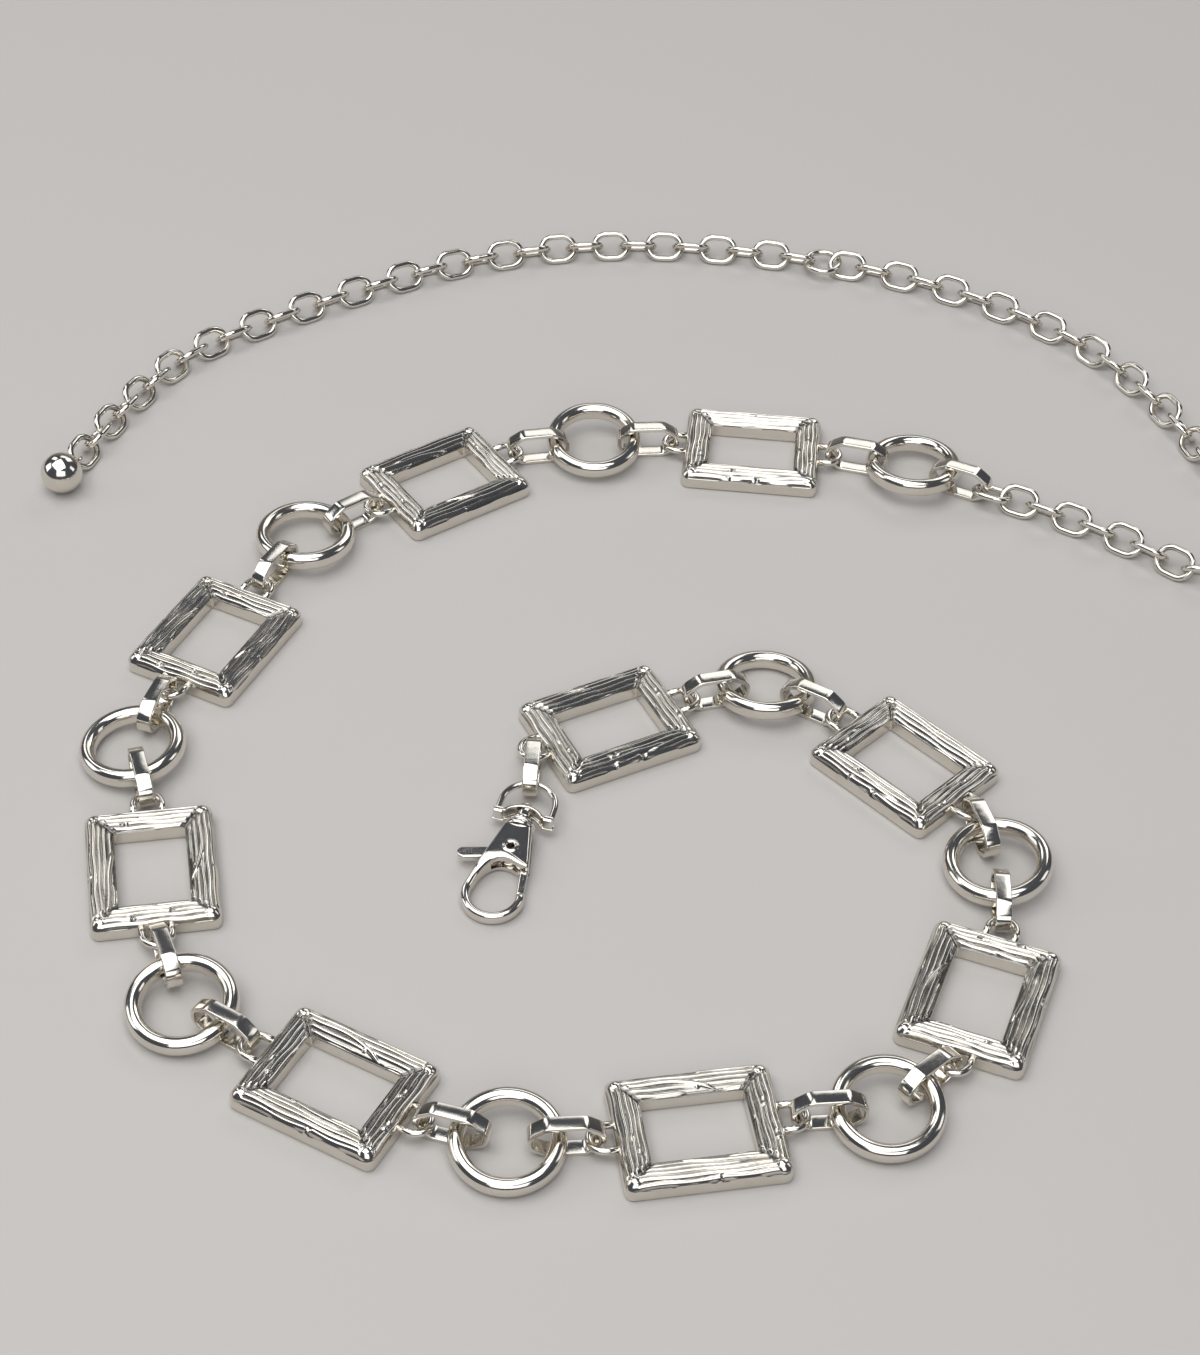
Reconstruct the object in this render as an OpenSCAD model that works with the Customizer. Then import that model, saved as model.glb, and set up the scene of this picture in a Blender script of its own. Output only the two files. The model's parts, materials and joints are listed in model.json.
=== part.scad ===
// A waist chain lying open on a table: nine cast picture-frame links with a raised
// bark pattern, nine plain rings, oblong links of flat strip between them, a swivel
// lobster clasp at one end and an extender of oval cable links with a ball at the other.
// X runs to the right, Y away from the viewer, Z up from the table. Millimetres.

/* [Frame link] */
// Length of a frame link along the chain
frame_l = 29.8; // [26:0.1:36]
// Width of a frame link across the chain
frame_w = 24.4; // [21:0.1:30]
// Width of one side of a frame, from its outer to its inner wall
side_w = 5.4; // [4.6:0.1:6.4]
// Height of a side's crown, without the bark
crown_h = 4.2; // [3.6:0.1:4.8]
// Radius of a frame's outer corners
corner_r = 1.6; // [0.8:0.1:2.4]
// Radius of one strand of bark
strand_r = 0.45; // [0.35:0.05:0.6]
// Height that a strand stands proud of the crown
strand_rise = 0.3; // [0.15:0.05:0.35]

/* [Wire eye] */
// Outer width of the soldered wire eye
eye_w = 7; // [6:0.1:9]
// Reach of the eye beyond the frame's side
eye_reach = 5.3; // [4.8:0.1:7]
// Thickness of the eye's wire
eye_d = 1.45; // [1:0.05:1.6]
// Height of the eye's wire above the table
eye_z = 2.7; // [2.5:0.1:3]

/* [Ring] */
// Outer diameter of a ring
ring_od = 21; // [18:0.5:24]
// Width of a ring's metal, seen from above
ring_w = 3.1; // [2.4:0.1:3.6]
// Height of a ring's metal
ring_h = 3.9; // [3.7:0.1:4.4]

/* [Strip link] */
// Outer length of a strip link
strip_l = 13.9; // [13.4:0.1:16]
// Outer height of a strip link
strip_h = 7.8; // [7.4:0.1:9]
// Width of the flat strip
strip_w = 3; // [2.2:0.1:3.2]
// Thickness of the flat strip
strip_t = 0.9; // [0.7:0.05:1]

/* [Extender] */
// Outer length of a cable link
cable_l = 9.4; // [8.8:0.1:10.4]
// Outer width of a cable link
cable_w = 7.2; // [7:0.1:8]
// Thickness of a cable link's wire
cable_d = 1.4; // [1.1:0.05:1.45]
// Diameter of the ball at the free end
ball_d = 9; // [8:0.5:12]

/* [Clasp] */
// Outer width of the clasp's wire bail
bail_w = 12; // [11:0.5:14]
// Length of the bail from its arch to its feet
bail_l = 10.2; // [9.8:0.1:13]
// Thickness of the bail's wire
bail_d = 1.3; // [1:0.05:1.4]
// Diameter of the collar that the hook turns on
collar_d = 6.2; // [5.6:0.1:6.6]
// Outer diameter of the hook's round end
hook_od = 12.2; // [11.8:0.1:13.4]
// Width of the hook's metal, seen from above
hook_w = 1.7; // [1.4:0.1:1.9]
// Height of the hook's metal
hook_h = 2.6; // [2.2:0.1:3]
// Thickness of the gate lever
lever_t = 1.6; // [1.2:0.1:1.8]
// Reach of the thumb tab beside the rivet
tab_reach = 11.6; // [9:0.2:12]

/* [Fits] */
// Gap between pieces that hook into each other
gap = 0.15; // [0.1:0.01:0.2]
// Gap round a turning pin
pin_gap = 0.12; // [0.08:0.01:0.15]

/* [Hidden] */
$fn = 64;

// How the chain lies, read off the photo in whole degrees and tenths of a millimetre.
// One row a frame, from the clasp's end: its heading, then for the strip links on
// both sides of the ring after it their heading and slack, then the ring's lean and
// the heading of its low side.
HEADING = 0;
OUT_HEADING = 1;
OUT_SLACK = 2;
IN_HEADING = 3;
IN_SLACK = 4;
LEAN = 5;
LOW_SIDE = 6;
LAY = [
    [28, 16, 2.6, -29, 2.2, 8, 90],
    [-44, -74, 3.8, -91, 3.0, 7, 200],
    [-109, -137, 2.5, -173, 2.7, 9, 270],
    [-169, -174, 2.9, 166, 3.1, 8, 270],
    [153, 149, 3.2, 112, 1.3, 8, 250],
    [101, 108, 3.6, 74, 1.2, 6, 180],
    [65, 63, 1.4, 39, 0.9, 3, 100],
    [36, 12, 0.6, 6, 1.1, 8, 270],
    [-4, -12, 0.6, -23, 2.0, 6, 90],
];
// Middle of the first frame, from the layout's own zero point
lay_start = [2.3, -17];
// Turns of the extender: number of links, degrees from one to the next, and slack
BENDS = [[7, -2, 0.3], [4, 33, 0.4], [8, 3, 0], [3, 4, 0], [1, 8, 0], [5, 3, 0], [4, 3, 0],
    [1, 3, 0.4], [1, 0, 0.3], [5, 2, 0], [1, 3, 0], [9, 3, 0], [7, 1, 0], [4, 6, 0.4],
    [5, 2, 0.6]];
extender_heading = -22;
// The round ring sits at this place in the extender
joint_at = 33;
// Heading and slack of the last strip link, in the first frame's eye, and the clasp
clasp_link_heading = -92;
clasp_link_slack = 0.5;
clasp_heading = -103;

// Which frames carry the forked pattern; the others carry the stepped one
FORKED = [false, false, true, true, true, true, true, true, false];
frames = len(LAY);

function dir(a) = [cos(a), sin(a)];

// Crown of a frame's side: share of side_w from the outer wall, share of crown_h
CROWN = [[0, 0.6], [0.05, 0.76], [0.18, 0.92], [0.42, 1], [0.7, 0.97], [0.9, 0.86],
    [1, 0.76]];
function crown_z(share) = crown_h * lookup(share, CROWN);
// Small bevel along the foot of a frame's walls
foot = 0.3;

// Strands of bark, one row each: share of side_w from the outer wall, then where it
// starts and ends as shares of half the side's length, and the end with a bead
// (-1 the first, 1 the last, 0 none)
FORKED_LONG = [[0.13, -1, 0.1, 0], [0.11, 0.18, 1, -1], [0.27, -1, 1, 0],
    [0.42, -1, -0.1, 1], [0.42, 0.3, 1, 0], [0.57, -1, 0.05, 0], [0.57, 0.46, 1, -1],
    [0.72, -1, -0.2, 1], [0.72, 0.2, 1, 0], [0.88, -1, 1, 0]];
FORKED_SHORT = [[0.13, -1, 1, 0], [0.28, -1, 1, 0], [0.43, -1, 0.3, 1],
    [0.43, 0.5, 1, 0], [0.58, -1, 1, 0], [0.73, -1, -0.3, 1], [0.73, 0, 1, 0],
    [0.88, -1, 1, 0]];
STEPPED_LONG = [[0.12, -1, -0.2, 0], [0.12, 0.05, 1, 0], [0.27, -1, 0.5, 0],
    [0.29, 0.62, 1, -1], [0.42, -1, -0.45, 0], [0.42, -0.3, 1, 0], [0.57, -1, 0.25, 0],
    [0.57, 0.4, 1, 0], [0.72, -1, 1, 0], [0.88, -1, 0, 0], [0.88, 0.15, 1, 0]];
STEPPED_SHORT = [[0.13, -1, 1, 0], [0.28, -1, 1, 0], [0.43, -1, 1, 0],
    [0.58, -1, 0.1, 0], [0.58, 0.25, 1, 0], [0.73, -1, 1, 0], [0.88, -1, 1, 0]];
// Curved branches: share of side_w where it leaves, share of half the length where
// it starts, its radius and its turn in degrees, towards the inner wall if positive
FORKED_BRANCH = [[0.46, 0.02, 9, 30], [0.35, -0.42, 14, 24]];
STEPPED_BRANCH = [];
bead_r = strand_r * 1.25;
branch_r = strand_r * 1.12;
function strand_z(share) = crown_z(share) + strand_rise - strand_r;

// Wire eye
eye_rc = (eye_w - eye_d) / 2;
eye_ri = eye_rc - eye_d / 2;
eye_sink = 0.8;
// Middle of the eye's half-circle, from the middle of the frame
eye_x = frame_l / 2 + eye_reach - eye_w / 2;

// Where the two edges of a flat strip end meet the wall of a round opening
function strip_stop(r) = sqrt(r * r - strip_w * strip_w / 4);
strip_inner_l = strip_l - 2 * strip_t;
strip_inner_h = strip_h - 2 * strip_t;
// Bevels of a strip link's bends
bend_x = strip_l * 0.245;
bend_z = strip_h * 0.27;
bend_n = norm([bend_x, bend_z]);
bend_reach = (strip_l / 2 - bend_x) * bend_z + strip_h / 2 * bend_x;
// How far from a strip link's middle a bar of radius r, its axis at height h, can sit,
// and how low it can sit when it is at x
function bar_x(r, h) = min(strip_inner_l / 2 - gap - r,
    (bend_reach - bend_n * (strip_t + gap + r) - bend_x * abs(strip_h / 2 - h)) / bend_z);
function bar_h(r, x) = max(strip_t + gap + r, strip_h / 2
    - (bend_reach - bend_n * (strip_t + gap + r) - bend_z * x) / bend_x);

// Ring
ring_rc = (ring_od - ring_w) / 2;
ring_ri = ring_rc - ring_w / 2;
// Distance from an eye's centre to the middle of its strip link, and to the next
// ring's centre, with the strip link taut
strip_from_eye = strip_stop(eye_ri) + eye_d / 2 + bar_x(eye_d / 2, eye_z);
taut = strip_from_eye + strip_inner_l / 2 + strip_stop(ring_ri) - gap;

// Frames, rings and strip links, each placed from the one before it
function frame_at(i) = i == 0 ? lay_start :
    ring_at(i - 1) + (taut - LAY[i - 1][IN_SLACK]) * dir(LAY[i - 1][IN_HEADING])
    + eye_x * dir(LAY[i][HEADING]);
function ring_at(i) = frame_at(i) + eye_x * dir(LAY[i][HEADING])
    + (taut - LAY[i][OUT_SLACK]) * dir(LAY[i][OUT_HEADING]);
// Middle of the strip link after a frame's eye, and of the one before the next eye
function out_link_at(i) = frame_at(i) + eye_x * dir(LAY[i][HEADING])
    + strip_from_eye * dir(LAY[i][OUT_HEADING]);
function in_link_at(i) = i < frames - 1
    ? frame_at(i + 1) - eye_x * dir(LAY[i + 1][HEADING])
        - strip_from_eye * dir(LAY[i][IN_HEADING])
    : ring_at(i) + (strip_stop(ring_ri) - gap - LAY[i][IN_SLACK] + strip_inner_l / 2)
        * dir(LAY[i][IN_HEADING]);

// Extra room for a ring whose section leans in the link
lean_gap = 0.1;
// Height of a ring's middle: its low side touches the table, and where a strip link
// crosses it the metal stays above the link's lower run and bevel
function ring_z(i) =
    let (rise = ring_rc * sin(LAY[i][LEAN]),
        floor_z = rise + (ring_h - ring_w) / 2 * cos(LAY[i][LEAN]) + ring_w / 2,
        crossings = [[LAY[i][OUT_HEADING] + 180, LAY[i][OUT_SLACK]],
            [LAY[i][IN_HEADING], LAY[i][IN_SLACK]]],
        // The strip's edges cross the leaning ring lower than its middle does
        edge = strip_w / 2 * sin(LAY[i][LEAN]),
        seats = [for (c = crossings) cos(c[0] - LAY[i][LOW_SIDE]) * rise
            + edge * abs(sin(c[0] - LAY[i][LOW_SIDE])) + lean_gap
            + bar_h(ring_w / 2, strip_inner_l / 2 - gap - c[1] - ring_w / 2)
            + (ring_h - ring_w) / 2])
    max(floor_z, max(seats));

// Extender
cable_ri = cable_w / 2 - cable_d;
cable_straight = (cable_l - cable_w) / 2;
cable_inner_l = cable_l - 2 * cable_d;
cable_pitch = cable_inner_l - gap;
cable_roll = 45;
first_roll = 18;
first_slack = 0.5;
// Every link leans by the same angle to one side or the other and touches the table
cable_z = (cable_w - cable_d) / 2 * sin(cable_roll) + cable_d / 2;
// Turns from one link to the next, written out link by link
turns = [for (b = BENDS) for (k = [1:b[0]]) b[1]];
slacks = [for (b = BENDS) for (k = [1:b[0]]) b[2]];
links = len(turns) + 1;
cable_start = in_link_at(frames - 1) + (bar_x(cable_d / 2, cable_z) + cable_d / 2
    + sqrt(pow(cable_ri, 2) - pow(strip_w / 2 / cos(first_roll), 2)) + cable_straight
    - first_slack)
    * dir(extender_heading);
// Headings and places of the links, summed along the chain
cable_headings = [for (i = 0, h = extender_heading; i < links; h = h + (i < links - 1
    ? turns[i] : 0), i = i + 1) h];
cable_places = [for (i = 0, p = cable_start; i < links;
    p = p + (i < links - 1 ? cable_pitch - slacks[i] : 0)
        * dir((cable_headings[i] + cable_headings[min(i + 1, links - 1)]) / 2),
    i = i + 1) p];
function cable_roll_at(i) = i == 0 ? -first_roll : i == joint_at ? 0 :
    (i % 2 == 0 ? -1 : 1) * (i < joint_at ? 1 : -1) * cable_roll;

// Ball end: its eye hooks the last link, is sunk in the ball and follows in line
ball_eye_d = 1.1;
ball_eye_rc = 1.75;
ball_eye_sink = 0.25;
ball_z = ball_d / 2;
ball_chord = sqrt(pow(ball_d / 2, 2) - pow(ball_z - cable_z, 2));
ball_eye_x = ball_chord - ball_eye_sink + ball_eye_rc;
ball_heading = cable_headings[links - 1];
ball_at = cable_places[links - 1] + (cable_inner_l / 2 - gap - ball_eye_d / 2
    + ball_eye_rc + ball_eye_x) * dir(ball_heading);

// Clasp, in its own frame: X from the rivet towards the hook's end, Y to the gate's side
bail_rc = (bail_w - bail_d) / 2;
foot_x = -8;
bail_arch_x = foot_x - bail_l + bail_w / 2;
shank_r = 1.5;
plate_h = 3;
plate_t = 1;
// The plate's curve ends this far inside the middles of the bail's legs
plate_set = 0.25;
plate_r = bail_rc - plate_set;
plate_turn = 54;
plate_foot = 1.6;
plate_apex = -11.2;
head_h = 1;
// The shank stands clear of the hollow side of the curved plate
shank_x = plate_apex + plate_r - sqrt(pow(plate_r - plate_t, 2) - shank_r * shank_r)
    + pin_gap;
neck_x = -8.2;
collar_x = -7.1;
shoulder_x = -5.2;
neck_r = 2.3;
post_r = 1;
head_r = 1.6;
eyelet_r = 1;
eyelet_bore_r = 0.7;
eyelet_flange_r = 1.65;
eyelet_flange_t = 0.3;
rivet_gap = 0.05;
hub_r = 2.5;
tab_w = 2.7;
tab_turn = -74;
gate_reach = 9.9;
slot_t = lever_t + 2 * gap;
slot_x = [-3.6, 4.2, 8];
loop_at = [10.8, -0.5];
loop_from = -100;
loop_to = 108;
loop_rc = (hook_od - hook_w) / 2;
// Plan of the body, from its shoulder round to the root of the hook
BODY_PLAN = [[-5.2, -2.9], [-5.2, 2.9], [3.9, 4.8], [4.1, 3.1], [3.1, 2.2],
    [2.9, -1.2], [4.9, -3.2], [7.5, -4.3], [7.5, -5.95]];
// Half the body's thickness along its length
BODY_SIDE = [[-5.2, 2.7], [-2.6, 2.2], [2.6, 2.2], [7.5, 1.3]];
body_half = 2.2;
// Plan of the gate's arm, cut to its reach
GATE_PLAN = [[0, 1.6], [1.8, 0.2], [3.4, 2.9], [10.5, 3.85], [10.5, 5.35], [2.4, 4.4]];
// The clasp rests on its collar and on the hook's end
clasp_dip = asin((collar_d - hook_h) / 2 / (loop_at[0] + loop_rc - shoulder_x));
clasp_z = collar_d / 2 + shoulder_x * sin(clasp_dip);

// The last strip link hooks the first frame's eye and holds the bail's arch
clasp_link_at = frame_at(0) - eye_x * dir(LAY[0][HEADING])
    + (strip_from_eye - clasp_link_slack) * dir(clasp_link_heading);
bail_at = clasp_link_at + (strip_inner_l / 2 - gap + strip_stop(bail_rc - bail_d / 2))
    * dir(clasp_link_heading);
clasp_at = bail_at - bail_arch_x * cos(clasp_dip) * dir(clasp_heading);

// Where the layout's middle lies, so that the chain is centred on the origin
function span(p, r) = [p[0] - r, p[0] + r, p[1] - r, p[1] + r];
corner = [frame_l / 2 - corner_r, frame_w / 2 - corner_r];
function frame_span(i) =
    let (c = abs(cos(LAY[i][HEADING])), s = abs(sin(LAY[i][HEADING])),
        hx = corner[0] * c + corner[1] * s + corner_r,
        hy = corner[0] * s + corner[1] * c + corner_r, p = frame_at(i))
    [p[0] - hx, p[0] + hx, p[1] - hy, p[1] + hy];
function cable_span(i) =
    let (c = abs(cos(cable_headings[i])), s = abs(sin(cable_headings[i])),
        half_w = (cable_w - cable_d) / 2 * cos(cable_roll_at(i)),
        h = i == joint_at ? [cable_l / 2, cable_l / 2] :
            [cable_straight * c + sqrt(pow((cable_w - cable_d) / 2 * c, 2)
                + pow(half_w * s, 2)) + cable_d / 2,
            cable_straight * s + sqrt(pow((cable_w - cable_d) / 2 * s, 2)
                + pow(half_w * c, 2)) + cable_d / 2], p = cable_places[i])
    [p[0] - h[0], p[0] + h[0], p[1] - h[1], p[1] + h[1]];
spans = concat([for (i = [0:frames - 1]) frame_span(i)],
    [for (i = [0:links - 1]) cable_span(i)], [span(ball_at, ball_d / 2)]);
function col(k) = [for (s = spans) s[k]];
middle = [min(col(0)) + max(col(1)), min(col(2)) + max(col(3))] / 2;

module metal() {
    color([0.8, 0.8, 0.79]) children();
}

// Puts a piece at a place of the layout, turned to its heading
module lay(place, heading, z = 0) {
    translate([place[0] - middle[0], place[1] - middle[1], z]) rotate([0, 0, heading])
        children();
}

// Upright oval: a square with a round top and foot
module oval(w, h) {
    square([w, h - w], center = true);
    for (s = [-1, 1]) translate([0, s * (h - w) / 2]) circle(d = w);
}

module rounded(l, w, r) {
    square([l - 2 * r, w], center = true);
    square([l, w - 2 * r], center = true);
    for (x = [-1, 1], y = [-1, 1]) translate([x * (l / 2 - r), y * (w / 2 - r)])
        circle(r = r);
}

// One side of a frame, its outer wall on Y = 0 and its inner wall at -side_w,
// with its strands of bark and its branches, cut to a mitre at both ends
module frame_side(l, strands, branches) {
    half = l / 2;
    intersection() {
        union() {
            rotate([90, 0, 90]) linear_extrude(l, center = true)
                polygon(concat([[-foot, 0], [0, foot]],
                    [for (c = CROWN) [-c[0] * side_w, c[1] * crown_h]],
                    [[-side_w, foot], [foot - side_w, 0]]));
            for (s = strands) translate([s[1] * half, -s[0] * side_w, strand_z(s[0])]) {
                rotate([0, 90, 0]) cylinder(r = strand_r, h = (s[2] - s[1]) * half);
                if (s[3] != 0) translate([s[3] < 0 ? 0 : (s[2] - s[1]) * half, 0, 0])
                    rotate([0, 90, 0]) sphere(r = bead_r);
            }
            for (b = branches)
                translate([b[1] * half, -b[0] * side_w - b[2], strand_z(b[0])])
                    rotate([0, 0, 90 - b[3]]) rotate_extrude(angle = b[3])
                        translate([b[2], 0]) circle(r = branch_r);
        }
        linear_extrude(2 * crown_h) polygon([[-half, 0], [half, 0],
            [half - side_w, -side_w], [side_w - half, -side_w]]);
    }
}

module wire_eye() {
    translate([eye_x, 0, eye_z]) {
        rotate([0, 0, -90]) rotate_extrude(angle = 180) translate([eye_rc, 0])
            circle(d = eye_d);
        for (s = [-1, 1]) translate([0, s * eye_rc, 0]) rotate([0, -90, 0])
            cylinder(d = eye_d, h = eye_x - frame_l / 2 + eye_sink);
    }
}

module frame_link(forked) {
    long = forked ? FORKED_LONG : STEPPED_LONG;
    short = forked ? FORKED_SHORT : STEPPED_SHORT;
    branches = forked ? FORKED_BRANCH : STEPPED_BRANCH;
    intersection() {
        for (a = [0, 180]) rotate([0, 0, a]) {
            translate([0, frame_w / 2, 0]) frame_side(frame_l, long, branches);
            translate([frame_l / 2, 0, 0]) rotate([0, 0, -90])
                frame_side(frame_w, short, []);
        }
        linear_extrude(2 * crown_h) rounded(frame_l, frame_w, corner_r);
    }
    for (a = [0, 180]) rotate([0, 0, a]) wire_eye();
}

module ring_link() {
    rotate_extrude() translate([ring_rc, 0]) oval(ring_w, ring_h);
}

// Outline of a strip link, its bevels met at the same distance when it is set in by t
function bend_points(t) =
    let (hx = strip_l / 2 - t, hz = strip_h / 2 - t,
        reach = (strip_l / 2 - bend_x) * bend_z + strip_h / 2 * bend_x
            - t * norm([bend_x, bend_z]),
        x = (reach - hz * bend_x) / bend_z, z = (reach - hx * bend_z) / bend_x)
    [[hx, z], [x, hz], [-x, hz], [-hx, z], [-hx, -z], [-x, -hz], [x, -hz], [hx, -z]];

module strip_link() {
    translate([0, strip_w / 2, strip_h / 2]) rotate([90, 0, 0]) linear_extrude(strip_w)
        difference() {
            polygon(bend_points(0));
            polygon(bend_points(strip_t));
        }
}

module cable_link() {
    for (s = [-1, 1]) {
        translate([s * cable_straight, 0, 0]) rotate([0, 0, -90 * s])
            rotate_extrude(angle = 180) translate([(cable_w - cable_d) / 2, 0])
                circle(d = cable_d);
        translate([0, s * (cable_w - cable_d) / 2, 0]) rotate([0, 90, 0])
            cylinder(d = cable_d, h = 2 * cable_straight, center = true);
    }
}

module cable_run(from, to) {
    for (i = [from:to]) lay(cable_places[i], cable_headings[i], cable_z)
        rotate([cable_roll_at(i), 0, 0]) cable_link();
}

module extender_ring() {
    lay(cable_places[joint_at], cable_headings[joint_at], cable_z)
        rotate_extrude() translate([(cable_l - cable_d) / 2, 0]) circle(d = cable_d);
}

module ball_end() {
    lay(ball_at, ball_heading) {
        translate([0, 0, ball_z]) sphere(d = ball_d);
        translate([-ball_eye_x, 0, cable_z]) rotate([90 + cable_roll_at(links - 1), 0, 0])
            rotate_extrude() translate([ball_eye_rc, 0]) circle(d = ball_eye_d);
    }
}

// Puts a piece of the clasp where the clasp lies, dipped towards the hook's end
module lay_clasp() {
    lay(clasp_at, clasp_heading, clasp_z) rotate([0, clasp_dip, 0]) children();
}

// Turned part along X, from x1 to x2
module turned(x1, x2, r) {
    translate([x1, 0, 0]) rotate([0, 90, 0]) cylinder(r = r, h = x2 - x1);
}

module swivel_bail() {
    translate([bail_arch_x, 0, 0]) rotate([0, 0, 90]) rotate_extrude(angle = 180)
        translate([bail_rc, 0]) circle(d = bail_d);
    for (s = [-1, 1]) {
        translate([0, s * bail_rc, 0]) turned(bail_arch_x, foot_x, bail_d / 2);
        translate([foot_x - plate_foot / 2, s * (bail_rc - plate_foot / 4), 0])
            cube([plate_foot, plate_foot * 1.5, plate_h], center = true);
    }
    difference() {
        translate([plate_apex + plate_r, 0, 0]) rotate([0, 0, 180 - plate_turn])
            rotate_extrude(angle = 2 * plate_turn)
                translate([plate_r - plate_t, -plate_h / 2]) square([plate_t, plate_h]);
        turned(plate_apex - plate_t, plate_apex + 2 * plate_t, post_r + pin_gap);
    }
}

module hook_body() {
    arm_l = 6;
    difference() {
        union() {
            intersection() {
                linear_extrude(2 * collar_d, center = true) polygon(BODY_PLAN);
                rotate([90, 0, 0]) linear_extrude(4 * collar_d, center = true)
                    polygon(concat(BODY_SIDE,
                        [for (i = [len(BODY_SIDE) - 1:-1:0])
                            [BODY_SIDE[i][0], -BODY_SIDE[i][1]]]));
            }
            turned(collar_x, shoulder_x, collar_d / 2);
            turned(neck_x, collar_x, neck_r);
            turned(shank_x, neck_x, shank_r);
            turned(plate_apex - pin_gap, neck_x, post_r);
            intersection() {
                head_ball = (head_r * head_r + head_h * head_h) / 2 / head_h;
                translate([plate_apex - pin_gap - head_h + head_ball, 0, 0])
                    sphere(r = head_ball);
                turned(plate_apex - pin_gap - 2 * head_h, plate_apex - pin_gap,
                    2 * head_r);
            }
            translate([loop_at[0], loop_at[1], 0]) rotate([0, 0, loop_from]) {
                rotate_extrude(angle = loop_to - loop_from) translate([loop_rc, 0])
                    oval(hook_w, hook_h);
                translate([loop_rc, 0, 0]) rotate([90, 0, 0]) linear_extrude(arm_l)
                    oval(hook_w, hook_h);
            }
        }
        translate([slot_x[0], -tab_reach, -slot_t / 2])
            cube([slot_x[1] - slot_x[0], 2 * tab_reach, slot_t]);
        translate([0, -hub_r, -slot_t / 2]) cube([slot_x[2], tab_reach, slot_t]);
        cylinder(r = eyelet_r + rivet_gap, h = 2 * collar_d, center = true);
        intersection() {
            cylinder(r = gate_reach + gap, h = 2 * hook_h, center = true);
            translate([slot_x[1], 0, -hook_h]) cube(2 * hook_h + gate_reach / 2);
        }
    }
}

module hook_eyelet() {
    difference() {
        union() {
            cylinder(r = eyelet_r, h = 2 * body_half + 2 * eyelet_flange_t,
                center = true);
            for (s = [-1, 1]) rotate([90 - 90 * s, 0, 0])
                translate([0, 0, body_half + rivet_gap])
                    cylinder(r = eyelet_flange_r, h = eyelet_flange_t - rivet_gap);
        }
        cylinder(r = eyelet_bore_r, h = 2 * collar_d, center = true);
    }
}

module gate_lever() {
    difference() {
        linear_extrude(lever_t, center = true) {
            circle(r = hub_r);
            rotate([0, 0, tab_turn]) {
                translate([0, -tab_w / 2]) square([tab_reach - tab_w, tab_w]);
                translate([tab_reach - tab_w, 0]) circle(d = tab_w);
            }
            intersection() {
                polygon(GATE_PLAN);
                circle(r = gate_reach);
            }
        }
        cylinder(r = eyelet_r + pin_gap, h = 2 * collar_d, center = true);
    }
}

// The strip links in order: the one beside the clasp, then two a ring
module strip_link_at(k) {
    if (k == 0)
        lay(clasp_link_at, clasp_link_heading) strip_link();
    else if (k % 2 == 1)
        lay(out_link_at((k - 1) / 2), LAY[(k - 1) / 2][OUT_HEADING]) strip_link();
    else
        lay(in_link_at(k / 2 - 1), LAY[k / 2 - 1][IN_HEADING]) strip_link();
}

module frame_link_at(i) {
    lay(frame_at(i), LAY[i][HEADING]) frame_link(FORKED[i]);
}

module ring_at_place(i) {
    lay(ring_at(i), LAY[i][LOW_SIDE], ring_z(i)) rotate([0, LAY[i][LEAN], 0]) ring_link();
}

for (i = [0:frames - 1]) {
    metal() frame_link_at(i);
    metal() ring_at_place(i);
}
for (k = [0:2 * frames])
    metal() strip_link_at(k);
metal() cable_run(0, joint_at - 1);  // extender_chain_near
metal() extender_ring();
metal() cable_run(joint_at + 1, links - 1);  // extender_chain_far
metal() ball_end();
metal() lay_clasp() swivel_bail();
metal() lay_clasp() hook_body();
metal() lay_clasp() hook_eyelet();
metal() lay_clasp() gate_lever();
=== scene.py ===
"""Waist chain lying open on a table: cast bark links, rings, strip links, an extender
that ends in a ball, and a swivel lobster clasp, all in bright nickel plate.

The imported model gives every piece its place. Lengths are metres, except in the clasp's
own frame, where they are millimetres.
"""

import json
import math

import bmesh
import bpy
import numpy as np
from mathutils import Matrix


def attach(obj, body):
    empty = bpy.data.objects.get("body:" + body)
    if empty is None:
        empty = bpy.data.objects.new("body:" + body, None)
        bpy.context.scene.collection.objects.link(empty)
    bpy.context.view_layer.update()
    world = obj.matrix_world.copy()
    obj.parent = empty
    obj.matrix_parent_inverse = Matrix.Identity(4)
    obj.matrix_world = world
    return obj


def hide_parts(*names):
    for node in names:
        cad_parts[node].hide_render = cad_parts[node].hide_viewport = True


bl_info = {
    "name": "Waist Chain",
    "version": (1, 0, 0),
    "blender": (4, 5, 0),
    "location": "3D View > Sidebar > Waist Chain",
    "description": "Dresses the packed waist chain in cast bark, bent strip and plate",
    "category": "Object",
}

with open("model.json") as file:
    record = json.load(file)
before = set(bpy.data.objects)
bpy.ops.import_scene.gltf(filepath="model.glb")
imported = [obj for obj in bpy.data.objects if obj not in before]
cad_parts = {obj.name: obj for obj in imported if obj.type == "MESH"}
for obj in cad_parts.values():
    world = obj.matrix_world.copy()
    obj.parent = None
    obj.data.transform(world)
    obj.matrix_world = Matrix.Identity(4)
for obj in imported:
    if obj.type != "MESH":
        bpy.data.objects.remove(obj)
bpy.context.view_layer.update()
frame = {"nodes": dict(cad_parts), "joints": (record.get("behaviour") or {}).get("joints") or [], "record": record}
MM = 0.001
NODES = frame["nodes"]
PLATE = {slot["slot"]: slot["base_color"] for slot in frame["record"]["materials"]}
CASTINGS = 9
STRIPS = 19


# ---------------------------------------------------------------- settings


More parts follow.
